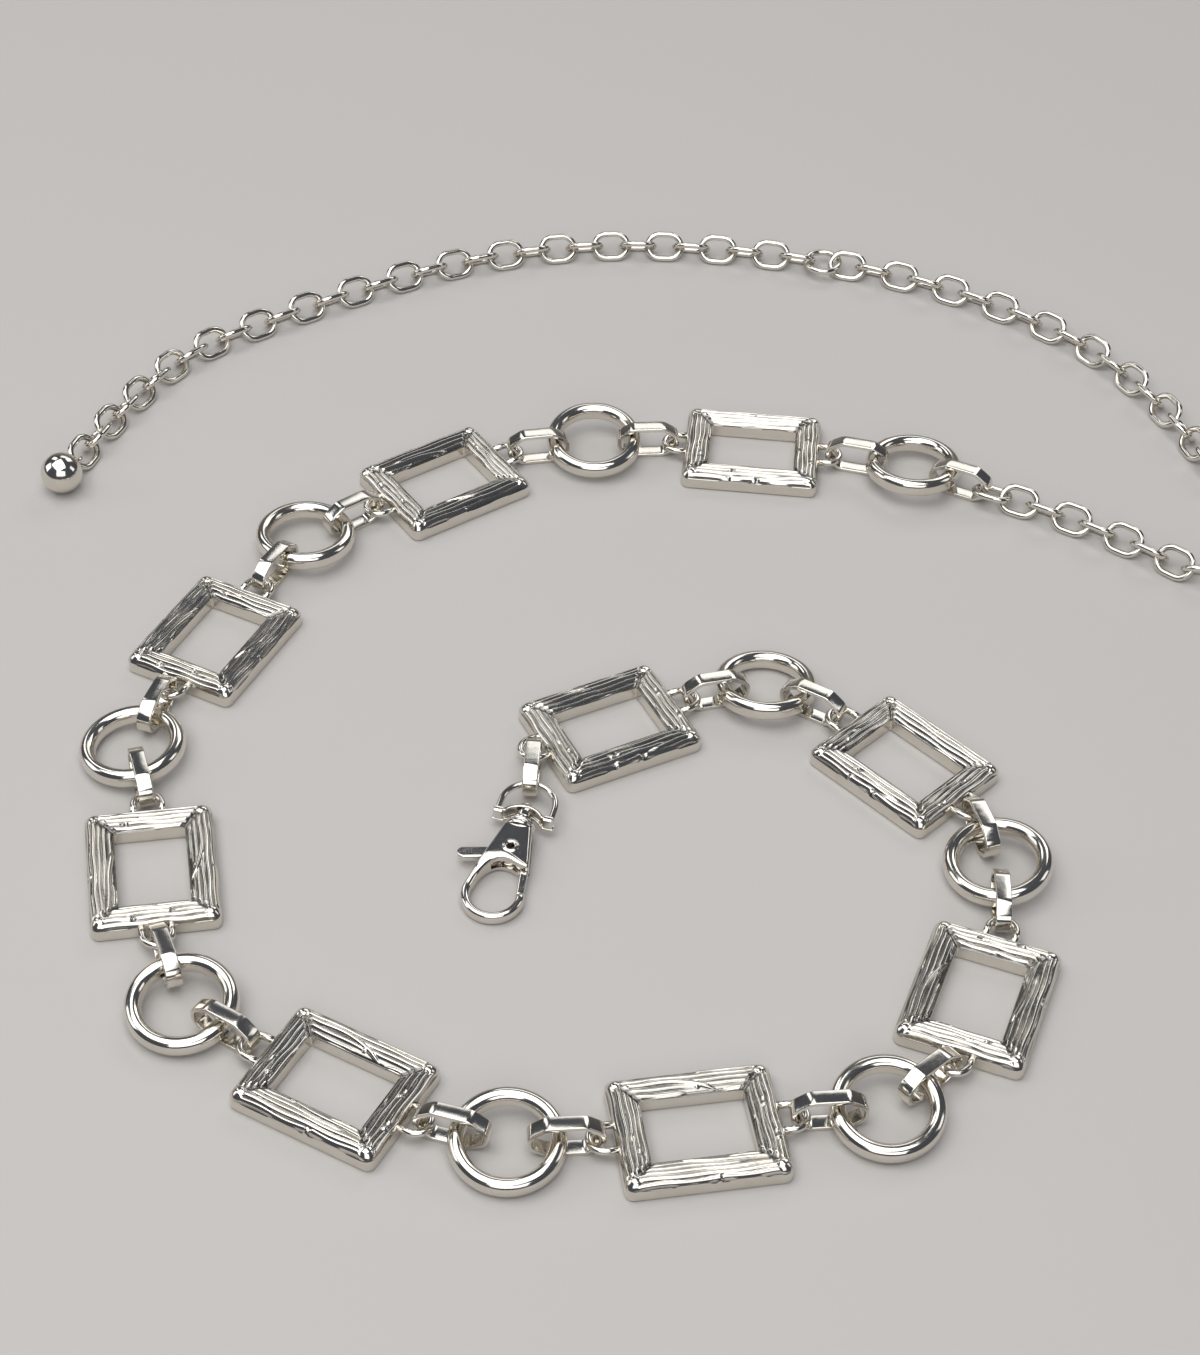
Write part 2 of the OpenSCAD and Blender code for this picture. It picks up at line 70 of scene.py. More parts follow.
class CastingSettings(bpy.types.PropertyGroup):
    """Sizes of the bark relief on the cast frame links."""

    strand_width: bpy.props.FloatProperty(
        name="Strand width",
        description="Width of one strand of bark",
        default=0.98 * MM,
        min=0.4 * MM,
        max=1.4 * MM,
        unit="LENGTH",
    )
    strand_rise: bpy.props.FloatProperty(
        name="Strand rise",
        description="Height of a strand above the groove beside it",
        default=0.52 * MM,
        min=0.1 * MM,
        max=0.6 * MM,
        unit="LENGTH",
    )
    wander: bpy.props.FloatProperty(
        name="Wander",
        description="How far a strand strays from its course, as a share of the side",
        default=0.018,
        min=0.0,
        max=0.06,
        subtype="FACTOR",
    )
    corner_bead: bpy.props.FloatProperty(
        name="Corner bead",
        description="Radius of the rounded bead on a link's outer corner",
        default=1.5 * MM,
        min=0.4 * MM,
        max=1.8 * MM,
        unit="LENGTH",
    )


class StripSettings(bpy.types.PropertyGroup):
    """How softly the flat strip of the small links is bent and rounded."""

    bend_radius: bpy.props.FloatProperty(
        name="Bend radius",
        description="Radius of each bend, at the middle of the strip",
        default=2.3 * MM,
        min=0.6 * MM,
        max=2.6 * MM,
        unit="LENGTH",
    )
    edge_radius: bpy.props.FloatProperty(
        name="Edge radius",
        description="Rounding of the strip's long edges",
        default=0.24 * MM,
        min=0.05 * MM,
        max=0.4 * MM,
        unit="LENGTH",
    )


class PlateSettings(bpy.types.PropertyGroup):
    """Colour and polish of the nickel plate."""

    # Painted shade: a dark colour mixed into the plate at the bottom of the cast grooves, standing in for the
    # shade and dark reflections that fall there
    groove: bpy.props.FloatVectorProperty(
        name="Painted groove shade",
        description="Painted shade at the bottom of the cast grooves",
        default=(0.10, 0.098, 0.095),
        size=3,
        min=0.0,
        max=1.0,
        subtype="COLOR",
    )
    polish: bpy.props.FloatProperty(
        name="Roughness",
        description="Roughness of the polished plate where it is cleanest",
        default=0.07,
        min=0.02,
        max=0.5,
        subtype="FACTOR",
    )
    ripple: bpy.props.FloatProperty(
        name="Ripple",
        description="Depth of the slow ripple that plating leaves",
        default=0.02 * MM,
        min=0.0,
        max=0.1 * MM,
        unit="LENGTH",
    )


class StageSettings(bpy.types.PropertyGroup):
    """Floor, lights and camera."""

    floor: bpy.props.FloatVectorProperty(
        name="Floor colour",
        description="Colour of the pale floor",
        default=(0.533, 0.509, 0.488),
        size=3,
        min=0.0,
        max=1.0,
        subtype="COLOR",
    )
    lens: bpy.props.FloatProperty(
        name="Lens",
        description="Focal length of the camera, in millimetres on a 36 mm sensor",
        default=76.78,
        min=20.0,
        max=200.0,
    )
    tilt: bpy.props.FloatProperty(
        name="Tilt",
        description="Angle of the camera up from straight down",
        default=math.radians(46.45),
        min=0.0,
        max=math.pi / 2,
        subtype="ANGLE",
    )
    roll: bpy.props.FloatProperty(
        name="Roll",
        description="Turn of the camera round its own line of sight",
        default=math.radians(2.2),
        min=-0.5,
        max=0.5,
        subtype="ANGLE",
    )


# ---------------------------------------------------------------- shader maths


class Flow:
    """A shader socket that can be added, multiplied and compared as a number."""

    def __init__(self, shade, socket):
        self.shade, self.socket = shade, socket

    def math(self, operation, *others):
        values = dict(enumerate((self, *others)))
        return self.shade.node("ShaderNodeMath", {"operation": operation}, values)

    def __add__(self, other):
        return self.math("ADD", other)

    __radd__ = __add__

    def __mul__(self, other):
        return self.math("MULTIPLY", other)

    __rmul__ = __mul__

    def __sub__(self, other):
        return self.math("SUBTRACT", other)

    def __rsub__(self, other):
        return self.shade.node(
            "ShaderNodeMath", {"operation": "SUBTRACT"}, {0: other, 1: self}
        )


# Sockets of a Mix node that mixes colours: its factor, its two colours and its result
MIX_SHARE, MIX_FIRST, MIX_SECOND, MIX_RESULT = 0, 6, 7, 2


class Shade:
    """One material under construction."""

    def __init__(self, name):
        self.material = bpy.data.materials.new(name)
        self.material.use_nodes = True
        self.tree = self.material.node_tree
        self.tree.nodes.clear()

    def node(self, kind, settings=None, sockets=None, out=0):
        """Adds a node, makes its settings, fills its sockets, and gives one output."""
        made = self.tree.nodes.new(kind)
        for key, value in (settings or {}).items():
            setattr(made, key, value)
        for key, value in (sockets or {}).items():
            if isinstance(value, Flow):
                self.tree.links.new(value.socket, made.inputs[key])
            else:
                made.inputs[key].default_value = value
        return Flow(self, made.outputs[out]) if len(made.outputs) else None

    def place(self, turn=(0, 0, 0), stretch=(1, 1, 1)):
        """Object coordinates, turned and stretched."""
        where = self.node("ShaderNodeTexCoord", out="Object")
        return self.node(
            "ShaderNodeMapping",
            sockets={"Vector": where, "Rotation": turn, "Scale": stretch},
        )

    def noise(self, size, detail=2.0, rough=0.5, where=None):
        """Noise whose lumps are about `size` metres across."""
        sockets = {"Scale": 1 / size, "Detail": detail, "Roughness": rough}
        sockets["Vector"] = where or self.place()
        return self.node("ShaderNodeTexNoise", sockets=sockets)

    def between(self, value, low, high, to_low=0.0, to_high=1.0):
        """`value` spread from low..high to to_low..to_high, and held inside them."""
        sockets = {
            "Value": value,
            "From Min": low,
            "From Max": high,
            "To Min": to_low,
            "To Max": to_high,
        }
        return self.node("ShaderNodeMapRange", {"clamp": True}, sockets)

    def mix(self, share, first, second):
        """Colour that goes from first to second."""
        colours = [c if isinstance(c, Flow) else (*c, 1) for c in (first, second)]
        sockets = {MIX_SHARE: share, MIX_FIRST: colours[0], MIX_SECOND: colours[1]}
        return self.node("ShaderNodeMix", {"data_type": "RGBA"}, sockets, MIX_RESULT)

    def bump(self, height, depth, below=None):
        """Normal of a surface whose height goes from 0 to `depth` metres."""
        sockets = {"Height": height, "Distance": depth, "Strength": 1.0}
        if below:
            sockets["Normal"] = below
        return self.node("ShaderNodeBump", sockets=sockets)

    def finish(self, **sockets):
        """Principled surface and output."""
        named = {key.replace("_", " "): value for key, value in sockets.items()}
        surface = self.node("ShaderNodeBsdfPrincipled", sockets=named)
        self.node("ShaderNodeOutputMaterial", sockets={"Surface": surface})
        return self.material


# The plate's colour against the record's, and its clouds' colour against that
NICKEL_TINT, WARM_TINT = (1.02, 1.0, 0.955), (0.985, 0.955, 0.91)
FLECK_COLOUR, FLECK_SHARE = (0.42, 0.41, 0.40), 0.25
# Sizes of the patterns in the plate, and how the hairlines lie
CLOUD_SIZE, FLECK_SIZE, HAIR_SIZE, RIPPLE_SIZE = 4 * MM, 0.35 * MM, 0.12 * MM, 2.2 * MM
HAIR_TURN, HAIR_STRETCH = (0.2, 0.1, 0.7), (1, 12, 1)
# Noise at which a pattern sets in and is full, in the colour and in the roughness
CLOUD_TONES, CLOUD_HAZE = (0.35, 0.65), (0.3, 0.7)
FLECK_TONES, FLECK_HAZE = (0.62, 0.78), (0.5, 0.8)
# Roughness that clouds, flecks and grooves add
CLOUD_DULL, FLECK_DULL, GROOVE_DULL = 0.07, 0.08, 0.14
# Relief at which the painted shade in a groove is darkest and at which it ends, and the shade's share of the
# colour
GROOVE_RANGE, GROOVE_SHADE_SHARE = (0.1, 0.72), 0.85
# Depth of the hairlines in millimetres: everywhere, and what full brushing adds
HAIR_DEPTH, BRUSHED_DEPTH = 0.0006, 0.004


def tinted(colour, tint):
    """A colour times a tint, channel by channel."""
    return tuple(c * t for c, t in zip(colour, tint))


def plate(name, slot, shaded_grooves=False, brushed=0.0, dull=0.0):
    """Bright nickel plate: cloudy polish, a slow ripple from the plating bath, fine
    hairlines, and on castings painted shade, with more roughness, in the grooves between
    the strands."""
    look = bpy.context.scene.waist_plate
    shade = Shade(name)
    clean = tinted(PLATE[slot], NICKEL_TINT)
    warm = tinted(clean, WARM_TINT)
    cloud = shade.noise(CLOUD_SIZE, detail=4.0, rough=0.6)
    fleck = shade.noise(FLECK_SIZE, detail=3.0, rough=0.7)
    lie = shade.place(HAIR_TURN, HAIR_STRETCH)
    hair = shade.noise(HAIR_SIZE, detail=1.0, where=lie)
    colour = shade.mix(shade.between(cloud, *CLOUD_TONES), clean, warm)
    flecked = shade.between(fleck, *FLECK_TONES, 0.0, FLECK_SHARE)
    colour = shade.mix(flecked, colour, FLECK_COLOUR)
    polish = look.polish + dull
    rough = shade.between(cloud, *CLOUD_HAZE, polish, polish + CLOUD_DULL)
    rough = rough + shade.between(fleck, *FLECK_HAZE, 0.0, FLECK_DULL)
    if shaded_grooves:
        named = {"attribute_name": "relief"}
        relief = shade.node("ShaderNodeAttribute", named, out="Fac")
        # Painted shade: where the bark is low, in the grooves, the dark groove colour is mixed in for the shade
        # there; these parts also get rougher
        low = shade.between(relief, *GROOVE_RANGE, 1.0, 0.0)
        colour = shade.mix(low * GROOVE_SHADE_SHARE, colour, tuple(look.groove))
        rough = rough + low * GROOVE_DULL
    normal = shade.bump(shade.noise(RIPPLE_SIZE, detail=1.0), look.ripple)
    normal = shade.bump(hair, (HAIR_DEPTH + brushed * BRUSHED_DEPTH) * MM, normal)
    return shade.finish(
        Base_Color=colour, Metallic=1.0, Roughness=rough, Normal=normal
    )


def dress(node, material):
    """Gives a CAD node's own object the material."""
    slots = NODES[node].data.materials
    if len(slots):
        for place in range(len(slots)):
            slots[place] = material
    else:
        slots.append(material)


# ---------------------------------------------------------------- surfaces

NO_TRIS = np.empty((0, 3), int)


def points_of(mesh):
    """Every vertex of a mesh, as rows of x, y, z."""
    flat = np.empty(3 * len(mesh.vertices), np.float32)
    mesh.vertices.foreach_get("co", flat)
    return flat.reshape(-1, 3).astype(float)


def corners(node):
    """Every vertex of a CAD node, as rows of x, y, z."""
    return points_of(NODES[node].data)


def middle(points):
    """Middle of the box round some points."""
    return (points.min(0) + points.max(0)) / 2


def arc(centre, radius, start, stop, count):
    """Points centre + radius * (cos a, sin a), for angles between two in degrees."""
    a = np.radians(np.linspace(start, stop, count))
    return np.stack([np.cos(a), np.sin(a)], -1) * radius + centre


def wrapped(rows, columns):
    """Quads of a grid that closes in both directions: each joins a point to the next
    one in its row and to the two beside them in the next row."""
    j, i = np.meshgrid(np.arange(rows), np.arange(columns), indexing="ij")
    below, beside = (j + 1) % rows, (i + 1) % columns
    quad = (
        j * columns + i,
        j * columns + beside,
        below * columns + beside,
        below * columns + i,
    )
    return np.stack(quad, -1).reshape(-1, 4)


def outward(points, quads, tris):
    """Turns every face round if the closed surface's volume comes out negative, as the
    sum of a . (b x c) over its triangles a, b, c, which is six times the volume."""
    faces = np.concatenate([quads[:, [0, 1, 2]], quads[:, [0, 2, 3]], tris])
    a, b, c = (points[faces[:, k]] for k in range(3))
    if np.einsum("ij,ij->", a, np.cross(b, c)) < 0:
        quads, tris = quads[:, ::-1], tris[:, ::-1]
    return quads, tris


def looped(grid):
    """Points and faces of a grid that closes in both directions."""
    points = grid.reshape(-1, 3)
    return points, *outward(points, wrapped(*grid.shape[:2]), NO_TRIS)


def capped(grid):
    """Points and faces of a grid whose rows are rings, with a fan over both ends."""
    rows, sides = grid.shape[:2]
    quads = wrapped(rows, sides)[: (rows - 1) * sides]
    turn, last = np.arange(sides), (rows - 1) * sides
    centre = np.full(sides, rows * sides)
    start = np.stack([centre, (turn + 1) % sides, turn], -1)
    end = np.stack([centre + 1, last + turn, last + (turn + 1) % sides], -1)
    points = np.concatenate([grid.reshape(-1, 3), grid[:1].mean(1), grid[-1:].mean(1)])
    return points, *outward(points, quads, np.concatenate([start, end]))


def tube(path, radius, sides=20):
    """Round bar along a path, closed at both ends by a fan.

    A ring of `sides` points stands square to the path at each of its points: radius
    times (cos a, sin a) along the side direction and straight up.
    """
    ahead = np.gradient(path, axis=0)
    ahead /= np.linalg.norm(ahead, axis=1, keepdims=True)
    side = np.cross(ahead, (0, 0, 1))
    side /= np.linalg.norm(side, axis=1, keepdims=True)
    up = np.cross(side, ahead)
    angle = np.linspace(0, 2 * math.pi, sides, endpoint=False)[None, :, None]
    ring = np.cos(angle) * side[:, None] + np.sin(angle) * up[:, None]
    return capped(path[:, None] + radius * ring)


def joined(solids):
    """Several closed solids as one: each one's faces count on from those before it."""
    points, quads, tris = zip(*solids)
    start = np.cumsum([0, *map(len, points)])
    quads = [four + count for four, count in zip(quads, start)]
    tris = [three + count for three, count in zip(tris, start)]
    return np.concatenate(points), np.concatenate(quads), np.concatenate(tris)


def build(name, points, quads, tris, material, relief=None):
    """Object at the origin from points and faces, shaded smooth."""
    mesh = bpy.data.meshes.new(name)
    mesh.from_pydata(points.tolist(), [], quads.tolist() + tris.tolist())
    mesh.polygons.foreach_set("use_smooth", np.ones(len(mesh.polygons), bool))
    if relief is not None:
        layer = mesh.attributes.new("relief", "FLOAT", "POINT")
        layer.data.foreach_set("value", relief.astype(np.float32))
    mesh.materials.append(material)
    mesh.update()
    made = bpy.data.objects.new(name, mesh)
    bpy.context.scene.collection.objects.link(made)
    return made


def laid(points, at, heading):
    """Points turned by `heading` about Z and moved to `at`."""
    c, s = math.cos(heading), math.sin(heading)
    x, y, z = points.T
    return np.stack([x * c - y * s + at[0], x * s + y * c + at[1], z], -1)


# ---------------------------------------------------------------- cast frame links

LINK_LENGTH, LINK_WIDTH, SIDE = 29.8 * MM, 24.4 * MM, 5.4 * MM
CROWN_HEIGHT = 4.2 * MM
OUTER_CORNER, INNER_CORNER = 1.6 * MM, 0.4 * MM
# Crown of a side: share of its width from the outer wall, share of the crown's height
CROWN = (
    (0, 0.6), (0.05, 0.76), (0.18, 0.92), (0.42, 1), (0.7, 0.97), (0.9, 0.86),
    (1, 0.76),
)  # fmt: skip
# Points across the crown, and the steps over which its curve is averaged
CROWN_POINTS, CROWN_STEPS = 65, (-0.02, 0, 0.02)
# Points along a short and a long side, and the share of them on its straight
SIDE_POINTS, STRAIGHT = (91, 113), 0.94
# Foot and walls of a side's section: distance from the outer wall and height
OUTER_FOOT = ((2.6, 0), (0.6, 0), (0.36, 0), (0.2, 0.05), (0.05, 0.2), (0, 0.36))
OUTER_WALL = ((0, 0.7), (0, 1.3), (0, 1.9), (0, 2.3), (0, 2.44))
INNER_WALL = ((5.4, 2.75), (5.4, 2.2), (5.4, 1.4), (5.4, 0.7), (5.4, 0.36))
INNER_FOOT = ((5.35, 0.2), (5.2, 0.05), (5.04, 0), (4.8, 0))
# Depth of the grooves' floor below the crown, and the shares of a side's width over
# which it gets there from the outer and from the inner wall
SUNK, SUNK_OUTER, SUNK_INNER = 0.32 * MM, 0.05, 0.04
# Corner bead: distance of its middle from both walls, height of its dome, and the share
# of it over which it takes the bark's place
BEAD_INSET, BEAD_DOME, BEAD_BLEND = 1.5 * MM, 0.56 * MM, 0.4
# Share of a side's width, from its outer wall, over which it gets none of the painted groove shade
SHADE_FREE_RIM = 0.03
EYE_MIDDLE, EYE_RADIUS, EYE_WIRE = 16.7 * MM, 2.775 * MM, 0.725 * MM
# Height of an eye's wire, how far its legs reach into the link, and how far from the
# link's middle only the tips of its eyes lie
EYE_HEIGHT, EYE_ROOT, TIP_REACH = 2.7 * MM, 0.8 * MM, 19.9 * MM

# Ends of a strand: it runs on into the corner, ends round, thins out, or ends in a bead
ON, ROUND, THIN, BEAD = range(4)
# Where the strands lie across a side close to its corners
CORNER_STRANDS = (0.11, 0.30, 0.49, 0.68, 0.87)

# Low straight strands under the others: share of the usual rise, power of their arch
LOW_SHARE, LOW_POWER = 0.35, 4
# A strand's arch, rise * (1 - d^ARCH_POWER)^ARCH_ROOT
ARCH_POWER, ARCH_ROOT = 2.3, 0.7
# Waver of a course: radians over half a side's length and over its width, and the
# distance from a corner at which it is full
WAVER_ALONG, WAVER_ACROSS, WAVER_FADE = 9, 5, 3 * MM
# A thin end: least share of the width, power of its taper, and length
THIN_LEAST, THIN_POWER, THIN_LENGTH = 0.12, 0.7, 2.5 * MM
# Powers by which a strand's rise follows its own figure, and its narrowing
RISE_POWER, NARROW_POWER = 2.5, 0.5
# Before the mitre, in millimetres: least gap, what the widest adds; then the length of
# a strand's drop and the share of its rise that is left
GAP_LEAST, GAP_MORE, DROP_LENGTH, DROP_LEFT = 0.15, 0.5, 0.5 * MM, 0.45
# A strand's end bead: radius against half its width, height against the usual rise
BEAD_BROAD, BEAD_TALL = 1.3, 1.12
# Crease along the mitre: depth, width, and where it sets in from the outer wall
CREASE_DEPTH, CREASE_WIDTH, CREASE_FROM = 0.28 * MM, 0.28 * MM, 1.8 * MM

# Strands of one side, looking along it: where it starts and ends as shares of half the
# side, four knots of its course as shares of the side's width from the outer wall, its
# width and rise against the usual ones, and its two ends
BRANCH_SIDE = (
    (-1, -0.14, (0.11, 0.12, 0.11, 0.11), 1.15, 1.0, ON, ROUND),
    (-0.1, 1, (0.09, 0.09, 0.10, 0.11), 0.85, 0.8, ROUND, ON),
    (-1, 1, (0.30, 0.31, 0.28, 0.30), 1.0, 0.95, ON, ON),
    (1, -0.32, (0.49, 0.48, 0.53, 0.93), 1.1, 1.08, ON, THIN),
    (-1, 0.25, (0.49, 0.51, 0.50, 0.44), 0.9, 0.85, ON, THIN),
    (-1, -0.05, (0.68, 0.72, 0.70, 0.63), 0.95, 0.9, ON, THIN),
    (1, -0.08, (0.68, 0.68, 0.70, 0.75), 0.85, 0.85, ON, BEAD),
    (-1, -0.36, (0.87, 0.90, 0.92, 0.92), 0.9, 0.9, ON, THIN),
    (1, 0.0, (0.87, 0.87, 0.90, 0.93), 0.85, 0.85, ON, THIN),
)
FAN_SIDE = (
    (-1, 0.1, (0.10, 0.10, 0.09, 0.09), 0.9, 0.9, ON, BEAD),
    (0.17, 1, (0.10, 0.10, 0.11, 0.11), 1.05, 1.0, ROUND, ON),
    (-1, 1, (0.30, 0.26, 0.25, 0.30), 1.15, 1.05, ON, ON),
    (-1, 1, (0.49, 0.46, 0.42, 0.49), 1.0, 1.0, ON, ON),
    (-1, 0.5, (0.68, 0.66, 0.61, 0.56), 0.9, 0.9, ON, THIN),
    (1, -0.35, (0.68, 0.70, 0.78, 0.92), 1.1, 1.1, ON, THIN),
    (-1, 0.1, (0.87, 0.86, 0.84, 0.78), 0.85, 0.85, ON, THIN),
    (1, 0.22, (0.87, 0.90, 0.92, 0.85), 0.9, 0.95, ON, THIN),
)
BULGED_END = (
    (-1, 1, (0.11, 0.12, 0.10, 0.11), 1.0, 0.95, ON, ON),
    (-1, 1, (0.30, 0.36, 0.32, 0.30), 1.1, 1.0, ON, ON),
    (-1, 0.25, (0.49, 0.56, 0.56, 0.51), 1.0, 1.0, ON, THIN),
    (0.0, 1, (0.63, 0.54, 0.49, 0.49), 0.9, 0.95, THIN, ON),
    (-1, 0.35, (0.68, 0.75, 0.73, 0.70), 0.85, 0.9, ON, BEAD),
    (0.46, 1, (0.68, 0.68, 0.68, 0.68), 0.9, 0.9, ROUND, ON),
    (-1, 1, (0.87, 0.92, 0.88, 0.87), 0.95, 0.95, ON, ON),
)
STRAIGHT_END = (
    (-1, 1, (0.11, 0.10, 0.11, 0.11), 0.95, 0.9, ON, ON),
    (-1, -0.4, (0.30, 0.30, 0.29, 0.28), 1.0, 0.95, ON, BEAD),
    (-0.28, 1, (0.29, 0.30, 0.31, 0.30), 1.05, 1.0, ROUND, ON),
    (-1, 0.2, (0.49, 0.48, 0.49, 0.50), 0.95, 1.0, ON, BEAD),
    (0.32, 1, (0.49, 0.50, 0.49, 0.49), 0.9, 0.9, ROUND, ON),
    (-1, 1, (0.68, 0.68, 0.69, 0.68), 1.1, 1.08, ON, ON),
    (-1, 0.1, (0.87, 0.88, 0.88, 0.85), 0.9, 0.9, ON, THIN),
    (-0.1, 1, (0.92, 0.88, 0.87, 0.87), 0.9, 0.9, THIN, ON),
)
STEPPED_SIDE = (
    (-1, -0.34, (0.11, 0.11, 0.10, 0.09), 0.95, 0.9, ON, ROUND),
    (-0.26, 0.06, (0.10, 0.10, 0.10, 0.10), 1.05, 1.05, BEAD, BEAD),
    (0.16, 1, (0.09, 0.10, 0.11, 0.11), 1.0, 0.95, ROUND, ON),
    (-1, 0.5, (0.30, 0.29, 0.31, 0.36), 0.95, 1.0, ON, THIN),
    (0.2, 1, (0.21, 0.26, 0.30, 0.30), 0.95, 0.95, THIN, ON),
    (-1, -0.3, (0.49, 0.48, 0.49, 0.49), 0.95, 0.95, ON, BEAD),
    (-0.2, 1, (0.48, 0.48, 0.50, 0.49), 1.0, 1.0, ROUND, ON),
    (-1, 1, (0.68, 0.67, 0.69, 0.68), 1.1, 1.05, ON, ON),
    (-1, 1, (0.87, 0.88, 0.86, 0.87), 0.9, 0.9, ON, ON),
)
BROAD_SIDE = (
    (-1, 1, (0.11, 0.12, 0.11, 0.11), 1.0, 0.95, ON, ON),
    (-1, 0.2, (0.30, 0.34, 0.33, 0.30), 1.1, 1.0, ON, THIN),
    (-0.1, 1, (0.39, 0.33, 0.31, 0.30), 1.0, 1.0, THIN, ON),
    (-1, 1, (0.49, 0.54, 0.52, 0.49), 1.1, 1.05, ON, ON),
    (-1, 1, (0.68, 0.73, 0.73, 0.68), 1.0, 1.0, ON, ON),
    (-1, 1, (0.87, 0.91, 0.90, 0.87), 0.9, 0.95, ON, ON),
)
# The four sides of the two castings, anticlockwise from the side at +X
FORKED_CASTING = (BULGED_END, FAN_SIDE, STRAIGHT_END, BRANCH_SIDE)
STEPPED_CASTING = (STRAIGHT_END, BROAD_SIDE, BULGED_END, STEPPED_SIDE)
STEPPED_LINKS = (1, 2, 9)


def eased(x):
    """0 up to 0, 1 from 1 on, and 3x^2 - 2x^3 between them."""
    x = np.clip(x, 0, 1)
    return x * x * (3 - 2 * x)


def bark(strands, along, across, half, to_corner, cast):
    """Height of the bark above the bottom of its grooves.

    A strand is an arch across its course, rise * (1 - (d / w)^2.3)^0.7, and the
    course is a cubic through its four knots with a slow waver. A round end falls off
    as a half ellipse beyond its end point, a thin one narrows to its least over its
    last 2.5 mm, and a bead is a half ball on the end. Low straight strands, shared by
    all sides, lie under them, and the highest counts. Each strand drops off before
    the mitre, at one of five gaps in turn, and a crease runs along the mitre.
    """
    width, rise = cast.strand_width / 2, cast.strand_rise
    aside = ((across[..., None] - CORNER_STRANDS) * SIDE / width).clip(-1, 1)
    height = LOW_SHARE * (rise * (1 - aside**LOW_POWER).max(-1) ** ARCH_ROOT)
    for k, (start, end, knots, broad, tall, first, last) in enumerate(strands):
        share = np.clip((along - start) / (end - start), 0, 1)
        course = np.polyval(np.polyfit((0, 1 / 3, 2 / 3, 1), knots, 3), share)
        waver = cast.wander * np.sin(WAVER_ALONG * along + WAVER_ACROSS * course)
        course += waver * eased(to_corner / WAVER_FADE)
        w = np.full_like(along, width * broad)
        length = abs(end - start) * half
        for kind, left in ((first, share), (last, 1 - share)):
            if kind == THIN:
                taper = eased(left * length / THIN_LENGTH) ** THIN_POWER
                w *= THIN_LEAST + (1 - THIN_LEAST) * taper
        beyond = np.abs(along - (start + (end - start) * share)) * half
        aside = (across - course) * SIDE
        fill = 1 - np.abs(aside / w) ** ARCH_POWER - (beyond / w) ** 2
        narrow = np.clip(w / (width * broad), 0, 1) ** NARROW_POWER
        gap = (GAP_LEAST + GAP_MORE * ((3 * k) % 5) / 4) * MM
        drop = DROP_LEFT + (1 - DROP_LEFT) * eased((to_corner - gap) / DROP_LENGTH)
        lift = rise * tall**RISE_POWER * narrow * drop
        height = np.maximum(height, lift * np.clip(fill, 0, 1) ** ARCH_ROOT)
        for kind, spot, knot in ((first, start, knots[0]), (last, end, knots[-1])):
            if kind == BEAD:
                away = ((along - spot) * half) ** 2 + ((across - knot) * SIDE) ** 2
                ball = 1 - away / (BEAD_BROAD * width * broad) ** 2
                ball = BEAD_TALL * rise * np.sqrt(np.clip(ball, 0, 1))
                height = np.maximum(height, ball)
    crease = CREASE_DEPTH * eased((across * SIDE - CREASE_FROM) / MM)
    return height - crease * np.exp(-((to_corner / CREASE_WIDTH) ** 2))


def side_section():
    """Section of a side, from its outer foot over the crown to its inner foot.

    Gives the shares of the side's width at the crown's points, every point's distance
    in from the outer wall and height, and which of them are the crown's.
    """
    share = np.linspace(0, 1, CROWN_POINTS)
    table = np.array(CROWN).T
    crown = CROWN_HEIGHT * sum(np.interp(share + step, *table) for step in CROWN_STEPS)
    crown /= len(CROWN_STEPS)
    outer = np.array(OUTER_FOOT + OUTER_WALL) * MM
    inner = np.array(INNER_WALL + INNER_FOOT) * MM
    inset = np.concatenate([outer[:, 0], share * SIDE, inner[:, 0]])
    level = np.concatenate([outer[:, 1], crown, inner[:, 1]])
    crowned = slice(len(outer), len(outer) + len(share))
    return share[:, None], inset[:, None], level[:, None], crowned


